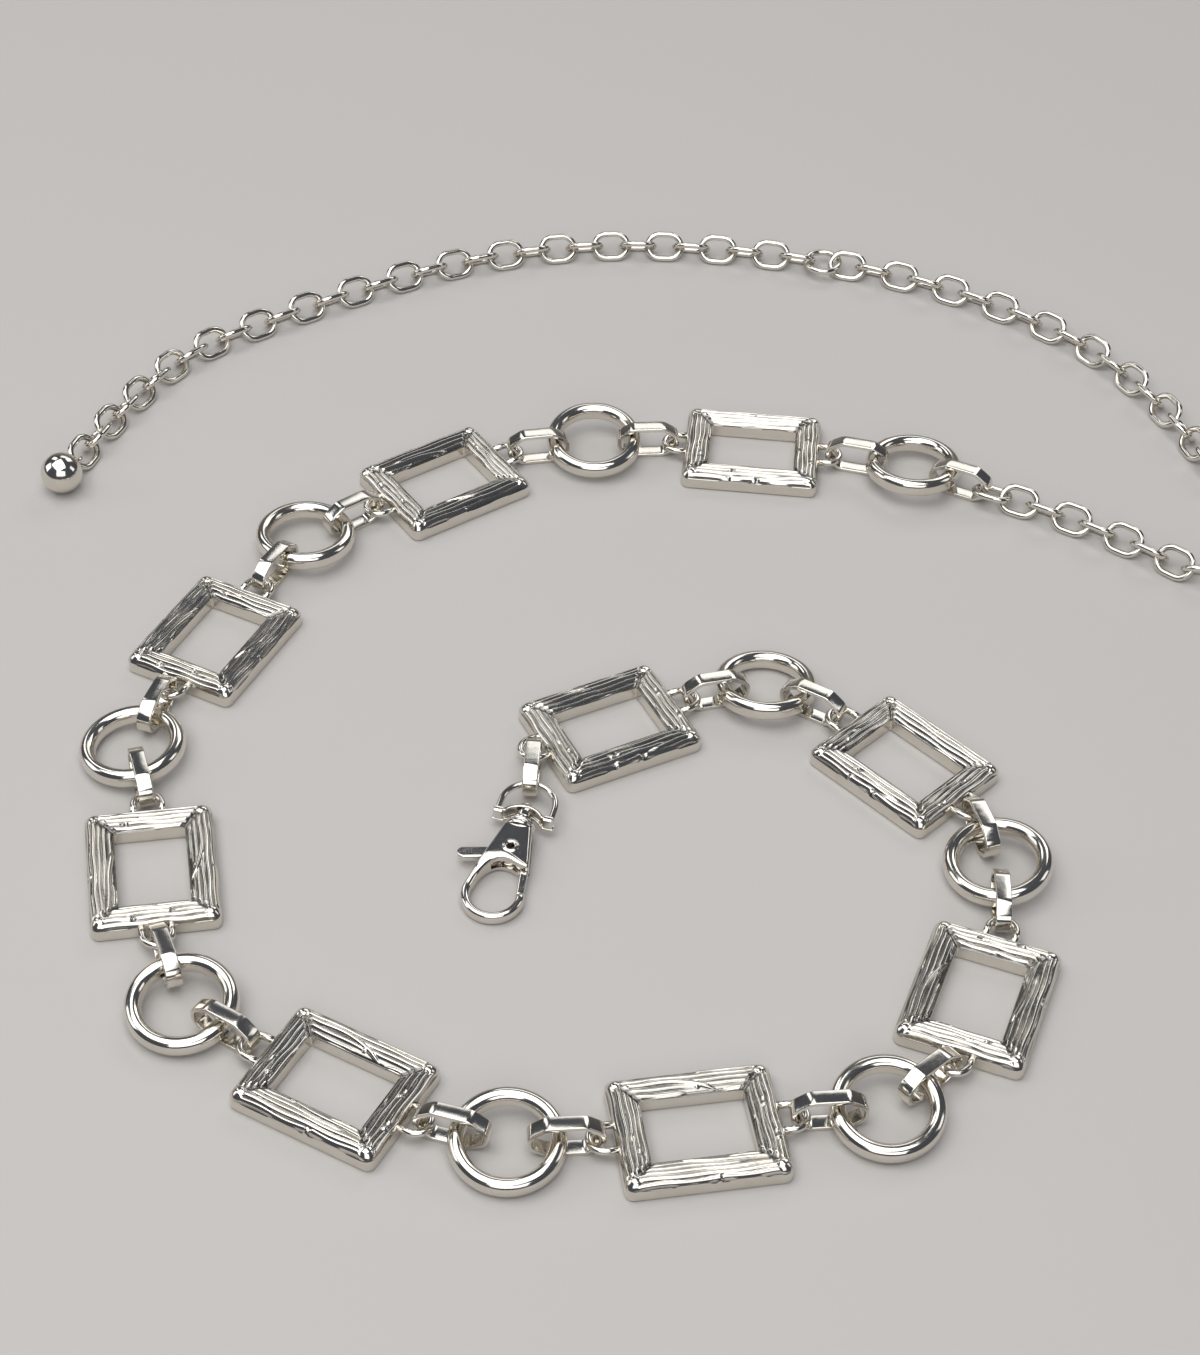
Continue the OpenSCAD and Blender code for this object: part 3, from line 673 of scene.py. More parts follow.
def cast_side(k, strands, cast):
    """Grid of one side of a cast link, k quarter turns from +X, and its brightness, which
    sets how much painted shade its grooves get.

    A row is a rounded rectangle's side, as far in from the outer wall as its point of
    the section is: a straight, and half the arc of the corner at each end. On the crown
    its height is the section's, less the grooves' depth, plus the bark or, within the
    corner bead, plus a dome that goes as the root of 1 - (d / radius)^2.
    """
    share, inset, level, crowned = side_section()
    half_out, half = LINK_LENGTH / 2, LINK_WIDTH / 2
    if k % 2:
        half_out, half = half, half_out
    radius = OUTER_CORNER + (INNER_CORNER - OUTER_CORNER) * inset / SIDE
    u = np.linspace(-1, 1, SIDE_POINTS[k % 2])[None, :-1]
    turn = np.clip((np.abs(u) - STRAIGHT) / (1 - STRAIGHT), 0, 1) * math.pi / 4
    along = np.clip(u / STRAIGHT, -1, 1) * (half - inset - radius)
    along = along + np.sign(u) * radius * np.sin(turn)
    out = half_out - inset - radius * (1 - np.cos(turn))
    to_corner = half - inset - np.abs(along) - radius * (1 - math.sqrt(0.5))
    across = np.repeat(share, u.shape[1], 1)
    top = along[crowned]
    risen = bark(strands, top / half, across, half, to_corner[crowned], cast)
    sunk = SUNK * eased(across / SUNK_OUTER) * eased((1 - across) / SUNK_INNER)
    bead = (half_out - BEAD_INSET - out[crowned]) ** 2
    bead = bead + (half - BEAD_INSET - np.abs(top)) ** 2
    bead = 1 - bead / cast.corner_bead**2
    smooth = eased(bead / BEAD_BLEND)
    dome = BEAD_DOME * np.sqrt(np.clip(bead, 0, 1))
    z = np.repeat(level, u.shape[1], 1)
    z[crowned] += risen * (1 - smooth) + dome * smooth - sunk
    # Brightness for the painted groove shade: the strand's share of its rise, and full, with no shade, on the
    # corner bead and the outer rim
    bright = np.clip(risen / cast.strand_rise, 0, 1)
    bright = np.maximum(np.where(bead > 0, 1, bright), 1 - across / SHADE_FREE_RIM)
    tone = np.ones_like(z)
    tone[crowned] = bright
    c, s = math.cos(k * math.pi / 2), math.sin(k * math.pi / 2)
    return np.stack([out * c - along * s, out * s + along * c, z], -1), tone


def wire_eye(way):
    """Wire eye at one end of a cast link, way 1 at +X and -1 at -X: round bar along
    half a circle between two straight legs."""
    leg = LINK_LENGTH / 2 - EYE_ROOT
    bend = arc((EYE_MIDDLE, 0), EYE_RADIUS, -90, 90, 33)
    line = np.concatenate([[[leg, -EYE_RADIUS]], bend, [[leg, EYE_RADIUS]]]) * way
    return tube(np.column_stack([line, np.full(len(line), EYE_HEIGHT)]), EYE_WIRE)


def casting(sides, cast):
    """Cast frame link about its own middle, with a wire eye at each end.

    The four sides' grids stand side by side and close into a ring, and the section's
    rows close under the link. Also gives each point's brightness for the painted groove
    shade, 1, with no shade, on the eyes.
    """
    made = [cast_side(k, strands, cast) for k, strands in enumerate(sides)]
    grids, tones = zip(*made)
    link = looped(np.concatenate(grids, 1))
    points, quads, tris = joined([link, wire_eye(1), wire_eye(-1)])
    relief = np.concatenate(tones, 1).ravel()
    relief = np.concatenate([relief, np.ones(len(points) - relief.size)])
    return points, quads, tris, relief


def link_place(number):
    """Middle and heading of a cast link: its +X eye points to the ring after it."""
    points = corners(f"frame_{number}")
    at = middle(points)
    toward = middle(corners(f"ring_{number}")) - at
    spread = points[:, :2] - at[:2]
    tips = spread[(np.hypot(*spread.T) > TIP_REACH) & (spread @ toward[:2] > 0)]
    x, y = tips.mean(0)
    return at, math.atan2(y, x)


# ---------------------------------------------------------------- strip links

STRIP_LENGTH, STRIP_HEIGHT = 13.9 * MM, 7.8 * MM
STRIP_WIDTH, STRIP_THICK = 3.0 * MM, 0.9 * MM
# How far the sloping shoulders come in from the ends, and down from the top
SHOULDER_RUN, SHOULDER_DROP = 3.1 * MM, 2.006 * MM


def bent_course(radius):
    """Closed course of a strip link's middle: an octagon with its corners bent.

    A bend starts and ends radius * tan(turn / 2) from its corner, on the two straights
    that meet there, and is the curve (1 - t)^2 start + 2t(1 - t) corner + t^2 end.
    """
    x, z = (STRIP_LENGTH - STRIP_THICK) / 2, (STRIP_HEIGHT - STRIP_THICK) / 2
    quarter = np.array([(x, z - SHOULDER_DROP), (x - SHOULDER_RUN, z)])
    mirror = quarter[::-1] * (-1, 1)
    ring = np.concatenate([quarter, mirror, -quarter, -mirror])
    before = np.roll(ring, 1, 0) - ring
    after = np.roll(ring, -1, 0) - ring
    before /= np.linalg.norm(before, axis=1, keepdims=True)
    after /= np.linalg.norm(after, axis=1, keepdims=True)
    opening = np.arccos(np.clip((before * after).sum(1), -1, 1))
    reach = radius / np.tan(opening / 2)
    t = np.linspace(0, 1, 9)[None, :, None]
    start = (ring + before * reach[:, None])[:, None]
    end = (ring + after * reach[:, None])[:, None]
    curve = (1 - t) ** 2 * start + 2 * t * (1 - t) * ring[:, None] + t**2 * end
    return curve.reshape(-1, 2)


def strip_link(bend, edge):
    """Strip link about its own middle, standing on its long edge.

    The strip's section is a rectangle with rounded corners, carried along the course
    with its width across it and its thickness along the course's normal.
    """
    course = bent_course(bend)
    ahead = np.roll(course, -1, 0) - np.roll(course, 1, 0)
    ahead /= np.linalg.norm(ahead, axis=1, keepdims=True)
    normal = np.stack([ahead[:, 1], -ahead[:, 0]], -1)
    turn = np.linspace(0, math.pi / 2, 5) + np.arange(4)[:, None] * math.pi / 2
    core = np.array([STRIP_WIDTH / 2 - edge, STRIP_THICK / 2 - edge])
    core = core * ((1, 1), (-1, 1), (-1, -1), (1, -1))
    section = core[:, None] + edge * np.stack([np.cos(turn), np.sin(turn)], -1)
    across, thick = section.reshape(1, -1, 2).transpose(2, 0, 1)
    x = course[:, None, 0] + normal[:, None, 0] * thick
    z = course[:, None, 1] + normal[:, None, 1] * thick + STRIP_HEIGHT / 2
    return looped(np.stack([x, np.broadcast_to(across, x.shape), z], -1))


def strip_place(number):
    """Middle and heading of a strip link, along which its points spread the most."""
    points = np.unique(corners(f"strip_link_{number}").round(7), axis=0)
    at = middle(points)
    spread = points[:, :2] - at[:2]
    x, y = np.linalg.eigh(spread.T @ spread)[1][:, 1]
    return at, math.atan2(y, x)


# ---------------------------------------------------------------- clasp

# Plan of the hook, in millimetres from the rivet, X towards the hook's end and Y to the
# gate: a knot on its outer edge, the knot of its inner edge that it faces, half height
HOOK_PLAN = (
    (-5.3, -2.80, -5.3, 2.80, 2.26),
    (-4.6, -3.02, -4.4, 3.02, 2.25),
    (-2.6, -3.48, -1.0, 3.74, 2.23),
    (-1.0, -3.86, 3.2, 4.58, 2.21),
    (-0.5, -3.98, 3.92, 4.58, 2.20),
    (0.0, -4.10, 4.10, 3.95, 2.20),
    (0.6, -4.25, 3.72, 2.60, 2.20),
    (1.4, -4.45, 3.15, 1.20, 2.20),
    (2.4, -4.75, 2.95, -0.50, 2.18),
    (3.6, -5.07, 3.55, -2.05, 2.08),
    (5.0, -5.42, 5.00, -3.32, 1.86),
    (7.2, -5.92, 7.30, -4.30, 1.48),
    (9.74, -6.51, 10.04, -4.83, 1.30),
)
LOOP_MIDDLE, LOOP_OUTER, LOOP_INNER = (10.8, -0.5), 6.1, 4.4
# The loop's first and last angle in degrees and its count of points; its half height
LOOP_SWEEP, LOOP_HALF = (-100, 105, 73), 1.3
# Share of the loop's section that is left in its last rings, at the round tip
TIP_TAPER = (0.99, 0.95, 0.87, 0.72, 0.5)
# Rounding of the hook's edges, and doming of its flats
HOOK_EDGE, HOOK_BULGE = 0.8, 0.1
# Turned parts along the hook's axis, from the head on the bail's plate to the collar
TURNED = (
    (-12.32, 0.001), (-12.28, 0.4), (-12.12, 0.85), (-11.85, 1.22), (-11.52, 1.48),
    (-11.36, 1.56), (-11.32, 1.48), (-11.32, 1.0), (-9.8, 1.0), (-9.8, 1.38),
    (-9.7, 1.5), (-8.26, 1.5), (-8.22, 2.1), (-8.12, 2.26), (-7.95, 2.3),
    (-7.35, 2.3), (-7.2, 2.22), (-7.12, 2.3), (-7.1, 2.76), (-7.02, 2.95),
    (-6.86, 3.04), (-6.62, 3.0), (-6.48, 2.84), (-6.4, 2.72), (-6.3, 2.72),
    (-6.24, 2.9), (-6.12, 3.06), (-5.9, 3.1), (-5.62, 3.08), (-5.42, 2.98),
    (-5.3, 2.7), (-4.8, 0.001),
)  # fmt: skip
# Gate arm's two edges, in pairs
GATE_ARM = (
    (1.8, 0.2, 0.0, 1.6), (2.5, 1.5, 1.1, 3.0), (3.45, 2.85, 2.5, 4.35),
    (4.2, 3.02, 3.6, 4.55), (7.0, 3.40, 6.8, 4.88), (9.85, 3.79, 9.72, 5.22),
)  # fmt: skip
ARM_HALF, ARM_EDGE = 0.77, 0.32
# Thumb tab: half its width, knots of its straight, middle of its round end and that
# end's angles in degrees with their count, and its turn from the hook's axis
TAB_WIDE, TAB_KNOTS = 1.35, (1.5, 5.0, 8.7)
TAB_END, TAB_SWEEP, TAB_TURN = 8.9, (0, 80, 15), -74
TAB_HALF, TAB_EDGE = 0.785, 0.38
# The lever's hub, from its bore over its flat to its outer wall
HUB_RIM = (
    (1.05, 0.4), (1.05, 0.72), (1.12, 0.8), (2.3, 0.8), (2.42, 0.77), (2.48, 0.7),
    (2.5, 0.6), (2.5, 0.3),
)  # fmt: skip
# Slots for the lever in the body: two X, two Y, half height; and the rivet's bore
LEVER_SLOTS = ((-3.6, 4.2, -11.6, 11.6, 0.95), (0, 8, -2.5, 9.1, 0.95))
BORE_REACH, BORE_RADIUS = 4, 1.05
# Rolled eyelet: its rim from the bore, over the flange, to the shank inside the body
EYELET_RIM = (
    (0.7, 1.9), (0.72, 2.2), (0.8, 2.34), (0.95, 2.45), (1.12, 2.49), (1.28, 2.46),
    (1.38, 2.4), (1.46, 2.42), (1.56, 2.4), (1.63, 2.34), (1.65, 2.26), (1.0, 2.26),
)  # fmt: skip
# The bail's wire: middle and radius of its bend, its own radius, X along its legs
BAIL_MIDDLE, BAIL_RADIUS, BAIL_WIRE, BAIL_LEGS = (-12.2, 0), 5.35, 0.65, (-8.2, -10.2)
# The bail's bowed wall: middle of its arcs, their first and last angle in degrees and
# count of points, and how far to each side its straight ends reach
WALL_MIDDLE, WALL_SWEEP, WALL_REACH = (-6.1, 0), (126, 234, 33), 5.6
# Its three edge lines: radius of the arc, X of its ends
WALL_OUTER, WALL_INNER, LIP_INNER = (5.1, -9.3), (4.4, -8.6), (4.1, -8.3)
# The wall and the lip below it: half height, height of the middle, edges' rounding
WALL, LIP = (1.2, 0.3, 0.25), (0.3, -1.2, 0.14)
# A foot's middle, and its upper and lower block: half width, half depth, half height,
# height of its middle
FOOT_MIDDLE, FOOT_EDGE = (-8.8, 4.95), 0.2
FOOT_BLOCKS = ((0.95, 0.7, 1.2, 0.3), (1.2, 0.8, 0.3, -1.2))
# Rings of a foot's block: share of its depth, share of its width, what its height loses
FOOT_RINGS = (
    (-1, 0.85, 0.15), (-0.93, 0.95, 0.05), (-0.75, 1, 0),
    (0.75, 1, 0), (0.93, 0.95, 0.05), (1, 0.85, 0.15),
)  # fmt: skip
# Where a slab's flat has its points, as shares of its width, and the most that its
# rounding takes of the width and of the half height
FLAT_POINTS = (0.03, 0.15, 0.35, 0.5, 0.65, 0.85, 0.97)
WIDTH_LIMIT, HEIGHT_LIMIT = 0.45, 0.999
# After a cut, points closer than this are merged, and sharper edges than this stay so
MERGE_DISTANCE, SHARP_ANGLE = 0.002, math.radians(40)


def through(knots, per):
    """Curve through knots, `per` points for each span: a Catmull-Rom cubic, whose
    slope at a knot is half the step from the knot before it to the one after."""
    knots = np.asarray(knots, float)
    before = np.concatenate([2 * knots[:1] - knots[1:2], knots[:-1]])
    after = np.concatenate([knots[1:], 2 * knots[-1:] - knots[-2:-1]])
    slope = (after - before) / 2
    t = np.linspace(0, 1, per, endpoint=False)[None, :, None]
    p, q = knots[:-1, None], knots[1:, None]
    m, n = slope[:-1, None], slope[1:, None]
    curve = (2 * t**3 - 3 * t**2 + 1) * p + (t**3 - 2 * t**2 + t) * m
    curve = curve + (3 * t**2 - 2 * t**3) * q + (t**3 - t**2) * n
    return np.concatenate([curve.reshape(-1, knots.shape[1]), knots[-1:]])


def slab(outer, inner, half, edge, bulge=0.0):
    """Flat solid between two edge lines of the plan, in millimetres.

    Each pair of facing points carries a section: a rectangle as wide as they are apart
    and 2 * half high, its four corners rounded by `edge`, its two flats domed by
    bulge * width / 8 * (1 - (2a / width - 1)^2). A fan closes each end.
    """
    way = inner - outer
    width = np.linalg.norm(way, axis=1)[:, None]
    way = way / np.maximum(width, 1e-9)
    half = np.broadcast_to(np.asarray(half, float), len(outer))[:, None]
    r = np.minimum(np.minimum(edge, width * WIDTH_LIMIT), half * HEIGHT_LIMIT)
    turn = np.linspace(0, math.pi / 2, 7)
    flat = np.array(FLAT_POINTS)
    dome = bulge * (1 - (2 * flat - 1) ** 2) * (width - 2 * r) / 8
    far, near, top = width - r, r, half - r
    span = near + (far - near) * flat
    aside = (
        span,
        far + r * np.sin(turn),
        far + r * np.cos(turn),
        span[:, ::-1],
        near - r * np.sin(turn),
        near - r * np.cos(turn),
    )
    level = (
        half + dome,
        top + r * np.cos(turn),
        -top - r * np.sin(turn),
        -half - dome,
        -top - r * np.cos(turn),
        top + r * np.sin(turn),
    )
    aside, level = np.concatenate(aside, 1), np.concatenate(level, 1)
    plan = outer[:, None] + way[:, None] * aside[..., None]
    return capped(np.concatenate([plan, level[..., None]], -1))


def revolved(profile, sides=64):
    """Round solid about X: the point (x, r) goes to (x, r cos a, r sin a)."""
    x, r = np.array(profile).T
    a = np.linspace(0, 2 * math.pi, sides, endpoint=False)
    y, z = np.outer(r, np.cos(a)), np.outer(r, np.sin(a))
    return capped(np.stack([np.repeat(x[:, None], sides, 1), y, z], -1))


def holed(rim, sides=64):
    """Turned solid about Z with a hole through it: a rim of points (r, z) and its
    mirror image below, closed on itself; (r, z) goes to (r cos a, r sin a, z)."""
    rim = np.array(rim)
    r, z = np.concatenate([rim, rim[::-1] * (1, -1)]).T
    a = np.linspace(0, 2 * math.pi, sides, endpoint=False)
    x, y = np.outer(r, np.cos(a)), np.outer(r, np.sin(a))
    return looped(np.stack([x, y, np.repeat(z[:, None], sides, 1)], -1))


def block(x0, x1, y0, y1, half):
    """Plain box, used to cut a slot: a ring of four corners at each of its two X."""
    ring = np.array([(0, y0, -half), (0, y1, -half), (0, y1, half), (0, y0, half)])
    return capped(np.stack([ring + (x0, 0, 0), ring + (x1, 0, 0)]))


def raised(solid, lift):
    """A solid moved up by `lift`."""
    return (solid[0] + (0, 0, lift), *solid[1:])


def hook_solids():
    """The hook: its body and loop as one slab, and the turned parts on its axis.

    Towards the tip the slab's two edge lines close in on the line midway between them,
    and its half height falls as the root of the same share.
    """
    plan = through(HOOK_PLAN, 8)[:-1]
    outer = np.concatenate([plan[:, :2], arc(LOOP_MIDDLE, LOOP_OUTER, *LOOP_SWEEP)])
    inner = np.concatenate([plan[:, 2:4], arc(LOOP_MIDDLE, LOOP_INNER, *LOOP_SWEEP)])
    half = np.full(len(outer), LOOP_HALF)
    half[: len(plan)] = plan[:, 4]
    shrink = np.ones(len(outer))
    shrink[-len(TIP_TAPER) :] = TIP_TAPER
    line = (outer + inner) / 2
    outer, inner = (line + (side - line) * shrink[:, None] for side in (outer, inner))
    hook = slab(outer, inner, half * shrink**0.5, HOOK_EDGE, HOOK_BULGE)
    return hook, revolved(TURNED)


def lever_solids():
    """The gate lever: a bored hub, and the gate arm and thumb tab as slabs.

    The tab's half width is constant along its straight, then follows a circle's arc.
    """
    arm = through(GATE_ARM, 6)
    round_end = np.radians(np.linspace(*TAB_SWEEP))
    x = np.concatenate([TAB_KNOTS, TAB_END + TAB_WIDE * np.sin(round_end)])
    straight = np.full(len(TAB_KNOTS), TAB_WIDE)
    y = np.concatenate([straight, TAB_WIDE * np.cos(round_end)])
    c, s = math.cos(math.radians(TAB_TURN)), math.sin(math.radians(TAB_TURN))
    turn = np.array([[c, s], [-s, c]])
    tab = np.stack([x, -y], -1) @ turn, np.stack([x, y], -1) @ turn
    return (
        holed(HUB_RIM),
        slab(arm[:, :2], arm[:, 2:], ARM_HALF, ARM_EDGE),
        slab(*tab, TAB_HALF, TAB_EDGE),
    )


def bowed(radius, end):
    """Edge line of the bail's wall: an arc, and a point beside the feet at each end."""
    bow = arc(WALL_MIDDLE, radius, *WALL_SWEEP)
    return np.concatenate([[(end, WALL_REACH)], bow, [(end, -WALL_REACH)]])


def foot(way, wide, deep, high, lift):
    """One block of a bail's foot: a slab whose edge lines run along its depth, each
    `wide` from the foot's middle, and draw in with its height at both ends."""
    place, share, loss = np.array(FOOT_RINGS).T
    x = deep * place + FOOT_MIDDLE[0]
    y, narrow = np.full(len(x), FOOT_MIDDLE[1] * way), wide * share
    edges = np.stack([x, y - narrow], -1), np.stack([x, y + narrow], -1)
    return raised(slab(*edges, high - loss, FOOT_EDGE), lift)


def bail_solids():
    """The bail: a wire arch, a bowed wall with a lip below it, and two feet."""
    near, far = BAIL_LEGS
    bend = arc(BAIL_MIDDLE, BAIL_RADIUS, 90, 270, 49)
    legs = np.array([(near, BAIL_RADIUS), (far, BAIL_RADIUS)])
    line = np.concatenate([legs, bend, legs[::-1] * (1, -1)])
    solids = [tube(np.column_stack([line, np.zeros(len(line))]), BAIL_WIRE)]
    for inner, (high, lift, edge) in ((WALL_INNER, WALL), (LIP_INNER, LIP)):
        solids.append(raised(slab(bowed(*WALL_OUTER), bowed(*inner), high, edge), lift))
    return solids + [foot(way, *sizes) for way in (-1, 1) for sizes in FOOT_BLOCKS]


def clasp_frame():
    """Middle and axes of the clasp, from its two joints' axes at the rivet."""
    swivel, pivot = frame["joints"]
    along = np.array(swivel["axis"], float)
    up = -np.array(pivot["axis"], float)
    return np.array(pivot["pos_m"], float), np.stack([along, np.cross(up, along), up])


def clasp_piece(name, solids, material, openings=()):
    """One object from closed solids in the clasp's own millimetres, less its openings.

    The openings are cut before the points go to their place in metres.
    """
    piece = build(name, *joined(solids), material)
    for opening in openings:
        hole = build(f"{name}_cut", *opening, material)
        cut = piece.modifiers.new("cut", "BOOLEAN")
        cut.object, cut.operation, cut.solver = hole, "DIFFERENCE", "EXACT"
        cut.use_self = True
        graph = bpy.context.evaluated_depsgraph_get()
        piece.data = bpy.data.meshes.new_from_object(piece.evaluated_get(graph))
        piece.modifiers.clear()
        bpy.data.objects.remove(hole)
    if openings:
        shape = bmesh.new()
        shape.from_mesh(piece.data)
        bmesh.ops.remove_doubles(shape, verts=shape.verts, dist=MERGE_DISTANCE)
        bmesh.ops.dissolve_degenerate(shape, edges=shape.edges, dist=MERGE_DISTANCE)
        shape.to_mesh(piece.data)
        shape.free()
        piece.data.set_sharp_from_angle(angle=SHARP_ANGLE)
    at, axes = clasp_frame()
    placed = points_of(piece.data) * MM @ axes + at
    piece.data.vertices.foreach_set("co", placed.astype(np.float32).ravel())
    piece.data.update()
    return piece


# ---------------------------------------------------------------- stage

# Pale paper floor: its front edge, where its sweep starts, the sweep's radius, its top
# edge's height, half its width, and how far below the chain it lies
FLOOR_FRONT, SWEEP_START, SWEEP_RADIUS, FLOOR_TOP = -2.5, 1.5, 0.6, 1.45
FLOOR_HALF, FLOOR_DROP = 3.0, 0.02 * MM
# Its grain's size, how much darker the grain is, and its roughness
GRAIN_SIZE, GRAIN_TINT, FLOOR_ROUGHNESS = 0.6 * MM, (0.985,) * 3, 0.62
# Softboxes: name, place, what it faces, width, height, watts
SOFTBOXES = (
    ("overhead_softbox", (-0.25, -0.18, 1.25), (0.0, 0.0, 0.0), 1.5, 1.3, 15.5),
    ("front_softbox", (0.1, -1.5, 1.0), (0.0, 0.0, 0.0), 1.6, 0.9, 8.0),
    ("left_softbox", (-1.5, 0.1, 0.7), (0.0, 0.0, 0.1), 0.8, 0.8, 3.0),
    ("right_softbox", (1.5, 0.1, 0.8), (0.0, 0.0, 0.1), 0.5, 0.8, 1.4),
    ("back_left_softbox", (-0.95, 1.1, 1.2), (0.0, 0.0, 0.0), 0.4, 0.8, 2.0),
    ("back_panel", (0.16, 1.36, 1.1), (0.0, 0.0, 0.0), 0.9, 0.5, 1.9),
    ("back_right_softbox", (0.78, 1.24, 1.2), (0.0, 0.0, 0.0), 0.5, 0.8, 2.6),
)
ROOM_COLOUR = (0.07, 0.076, 0.09, 1)
# Where the camera stands, over the front edge of the layout, its sensor's width in
# millimetres, and the nearest and farthest that it sees
CAMERA_AT, SENSOR_WIDTH = (-0.00937, -0.43970, 0.408), 36.0
SEES_FROM, SEES_TO = 0.02, 20.0


def swept_floor():
    """Sheet of paper: flat, a quarter circle of SWEEP_RADIUS up, then upright."""
    turn = np.linspace(0, math.pi / 2, 17)
    back = SWEEP_START + SWEEP_RADIUS * np.sin(turn)
    rise = SWEEP_RADIUS - SWEEP_RADIUS * np.cos(turn)
    y = np.concatenate([[FLOOR_FRONT, 0.0], back, [SWEEP_START + SWEEP_RADIUS]])
    z = np.concatenate([[0.0, 0.0], rise, [FLOOR_TOP]]) - FLOOR_DROP
    x = np.array([-FLOOR_HALF, FLOOR_HALF])
    points = np.stack([np.repeat(x, len(y)), np.tile(y, 2), np.tile(z, 2)], -1)
    low = np.arange(len(y) - 1)
    quads = np.stack([low, low + len(y), low + len(y) + 1, low + 1], -1)
    return points, quads, NO_TRIS


def facing(at, aim):
    """Turn that points a lamp's -Z from `at` to `aim`."""
    x, y, z = (a - b for a, b in zip(at, aim))
    around = Matrix.Rotation(math.atan2(y, x) + math.pi / 2, 4, "Z")
    return around @ Matrix.Rotation(math.atan2(math.hypot(x, y), z), 4, "X")


# ---------------------------------------------------------------- operators


class WAIST_OT_cast_links(bpy.types.Operator):
    """Casts the nine frame links with their bark and wire eyes"""

    bl_idname = "waist.cast_links"
    bl_label = "Cast frame links"

    def execute(self, context):
        cast = context.scene.waist_casting
        material = plate("cast_nickel_bark", "cast_nickel", shaded_grooves=True, dull=0.02)
        moulds = {
            True: casting(STEPPED_CASTING, cast),
            False: casting(FORKED_CASTING, cast),
        }
        for number in range(1, CASTINGS + 1):
            points, quads, tris, relief = moulds[number in STEPPED_LINKS]
            points = laid(points, *link_place(number))
            name = f"bark_link_{number}"
            piece = build(name, points, quads, tris, material, relief)
            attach(piece, "chain")
            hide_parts(f"frame_{number}")
        return {"FINISHED"}


class WAIST_OT_strip_links(bpy.types.Operator):
    """Bends the nineteen small links from flat strip"""

    bl_idname = "waist.strip_links"
    bl_label = "Bend strip links"

    def execute(self, context):
        strip = context.scene.waist_strip
        material = plate("strip_nickel_drawn", "strip_nickel", brushed=0.4)
        points, quads, tris = strip_link(strip.bend_radius, strip.edge_radius)
        for number in range(1, STRIPS + 1):
            placed = laid(points, *strip_place(number))
            piece = build(f"bent_strip_{number}", placed, quads, tris, material)
            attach(piece, "chain")
            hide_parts(f"strip_link_{number}")
        return {"FINISHED"}


class WAIST_OT_rings(bpy.types.Operator):
    """Polishes the nine rings and the ball"""

    bl_idname = "waist.rings"
    bl_label = "Polish rings and ball"

    def execute(self, context):
        material = plate("ring_nickel_polish", "polished_nickel")
        for number in range(1, CASTINGS + 1):
            dress(f"ring_{number}", material)
        dress("ball_end", material)
        return {"FINISHED"}


class WAIST_OT_extender(bpy.types.Operator):
    """Plates the extender's wire links and its round ring"""

    bl_idname = "waist.extender"
    bl_label = "Plate extender"

    def execute(self, context):
        material = plate("wire_nickel_drawn", "wire_nickel", brushed=0.2, dull=0.01)
        for node in ("extender_chain_near", "extender_ring", "extender_chain_far"):
            dress(node, material)
        return {"FINISHED"}


class WAIST_OT_clasp(bpy.types.Operator):
    """Polishes the swivel lobster clasp"""

    bl_idname = "waist.clasp"
    bl_label = "Polish clasp"

    def execute(self, context):
        material = plate("clasp_nickel_polish", "clasp_nickel", dull=-0.02)
        bore = revolved(((-BORE_REACH, BORE_RADIUS), (BORE_REACH, BORE_RADIUS)), 48)
        bore = (bore[0][:, [1, 2, 0]], *bore[1:])
        openings = (*(block(*slot) for slot in LEVER_SLOTS), bore)
        pieces = (
            ("swivel_bail", "chain", bail_solids(), ()),
            ("hook_body", "hook", hook_solids(), openings),
            ("hook_eyelet", "hook", (holed(EYELET_RIM),), ()),
            ("gate_lever", "gate", lever_solids(), ()),
        )
        for node, body, solids, holes in pieces:
            piece = clasp_piece(f"{node}_cast", solids, material, holes)
            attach(piece, body)
            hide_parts(node)
        return {"FINISHED"}


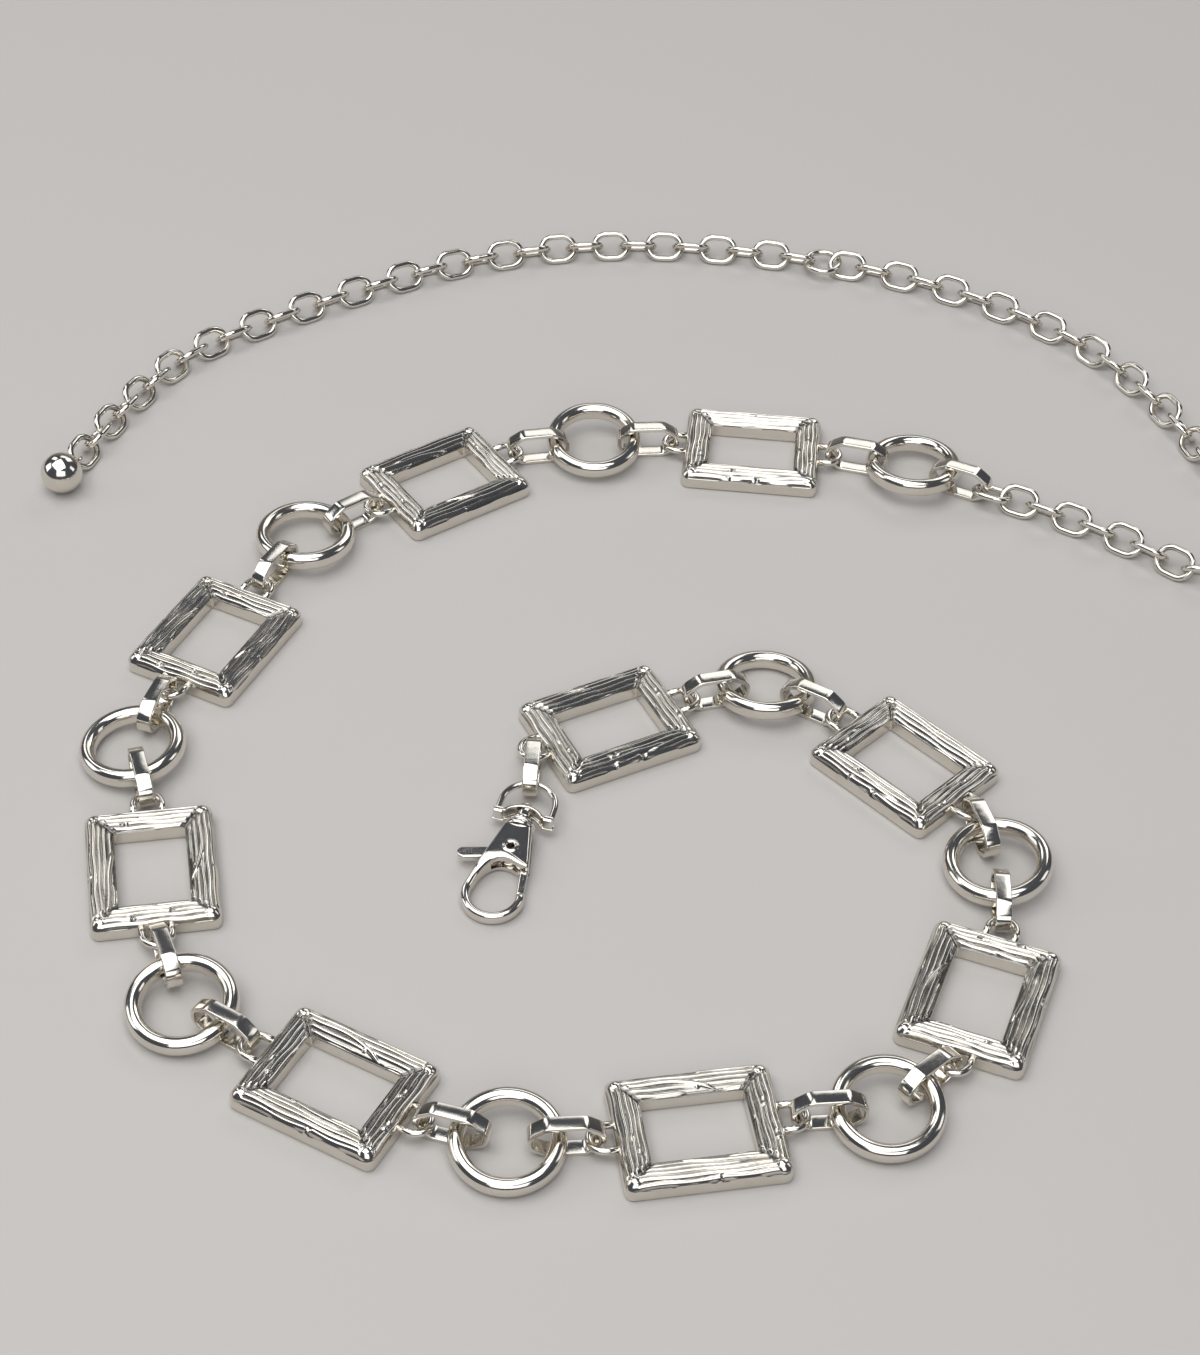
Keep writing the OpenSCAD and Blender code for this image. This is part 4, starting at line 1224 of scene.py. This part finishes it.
class WAIST_OT_stage(bpy.types.Operator):
    """Lays the pale floor and sets the studio lights and the camera"""

    bl_idname = "waist.stage"
    bl_label = "Set the stage"

    def execute(self, context):
        scene, setting = context.scene, context.scene.waist_stage
        shade = Shade("pale_floor")
        grain = shade.noise(GRAIN_SIZE, detail=3.0)
        tone = tuple(setting.floor)
        colour = shade.mix(grain, tone, tinted(tone, GRAIN_TINT))
        paper = shade.finish(Base_Color=colour, Roughness=FLOOR_ROUGHNESS)
        floor = build("floor", *swept_floor(), paper)

        for name, at, aim, wide, high, power in SOFTBOXES:
            lamp = bpy.data.lights.new(name, "AREA")
            lamp.shape, lamp.size, lamp.size_y = "RECTANGLE", wide, high
            lamp.energy = power
            lit = bpy.data.objects.new(name, lamp)
            lit.matrix_world = Matrix.Translation(at) @ facing(at, aim)
            scene.collection.objects.link(lit)

        world = bpy.data.worlds.new("studio")
        world.use_nodes = True
        back = world.node_tree.nodes["Background"]
        back.inputs["Color"].default_value = ROOM_COLOUR
        back.inputs["Strength"].default_value = 1.0
        scene.world = world
        scene.view_settings.view_transform = "Standard"

        eye = bpy.data.cameras.new("camera")
        eye.lens, eye.sensor_width, eye.sensor_fit = setting.lens, SENSOR_WIDTH, "AUTO"
        eye.clip_start, eye.clip_end = SEES_FROM, SEES_TO
        camera = bpy.data.objects.new("camera", eye)
        tilt = Matrix.Rotation(setting.tilt, 4, "X")
        roll = Matrix.Rotation(setting.roll, 4, "Z")
        camera.matrix_world = Matrix.Translation(CAMERA_AT) @ tilt @ roll
        scene.collection.objects.link(camera)
        scene.camera = camera
        return {"FINISHED"}


class WAIST_PT_panel(bpy.types.Panel):
    """Lists the pieces of the waist chain and their settings"""

    bl_idname = "WAIST_PT_panel"
    bl_label = "Waist Chain"
    bl_space_type = "VIEW_3D"
    bl_region_type = "UI"
    bl_category = "Waist Chain"

    def draw(self, context):
        scene = context.scene
        groups = (
            (scene.waist_casting, (WAIST_OT_cast_links,)),
            (scene.waist_strip, (WAIST_OT_strip_links,)),
            (scene.waist_plate, (WAIST_OT_rings, WAIST_OT_extender, WAIST_OT_clasp)),
            (scene.waist_stage, (WAIST_OT_stage,)),
        )
        for settings, operators in groups:
            box = self.layout.box()
            for name in settings.__annotations__:
                box.prop(settings, name)
            for operator in operators:
                box.operator(operator.bl_idname)


SETTINGS = {
    "waist_casting": CastingSettings,
    "waist_strip": StripSettings,
    "waist_plate": PlateSettings,
    "waist_stage": StageSettings,
}
OPERATORS = (
    WAIST_OT_cast_links,
    WAIST_OT_strip_links,
    WAIST_OT_rings,
    WAIST_OT_extender,
    WAIST_OT_clasp,
    WAIST_OT_stage,
)


def register():
    for kind in (*SETTINGS.values(), *OPERATORS, WAIST_PT_panel):
        bpy.utils.register_class(kind)
    for name, kind in SETTINGS.items():
        setattr(bpy.types.Scene, name, bpy.props.PointerProperty(type=kind))


def unregister():
    for name in SETTINGS:
        delattr(bpy.types.Scene, name)
    for kind in (WAIST_PT_panel, *OPERATORS, *SETTINGS.values()):
        bpy.utils.unregister_class(kind)


def main():
    register()
    for operator in OPERATORS:
        group, action = operator.bl_idname.split(".")
        getattr(getattr(bpy.ops, group), action)()


if __name__ == "__main__":
    main()
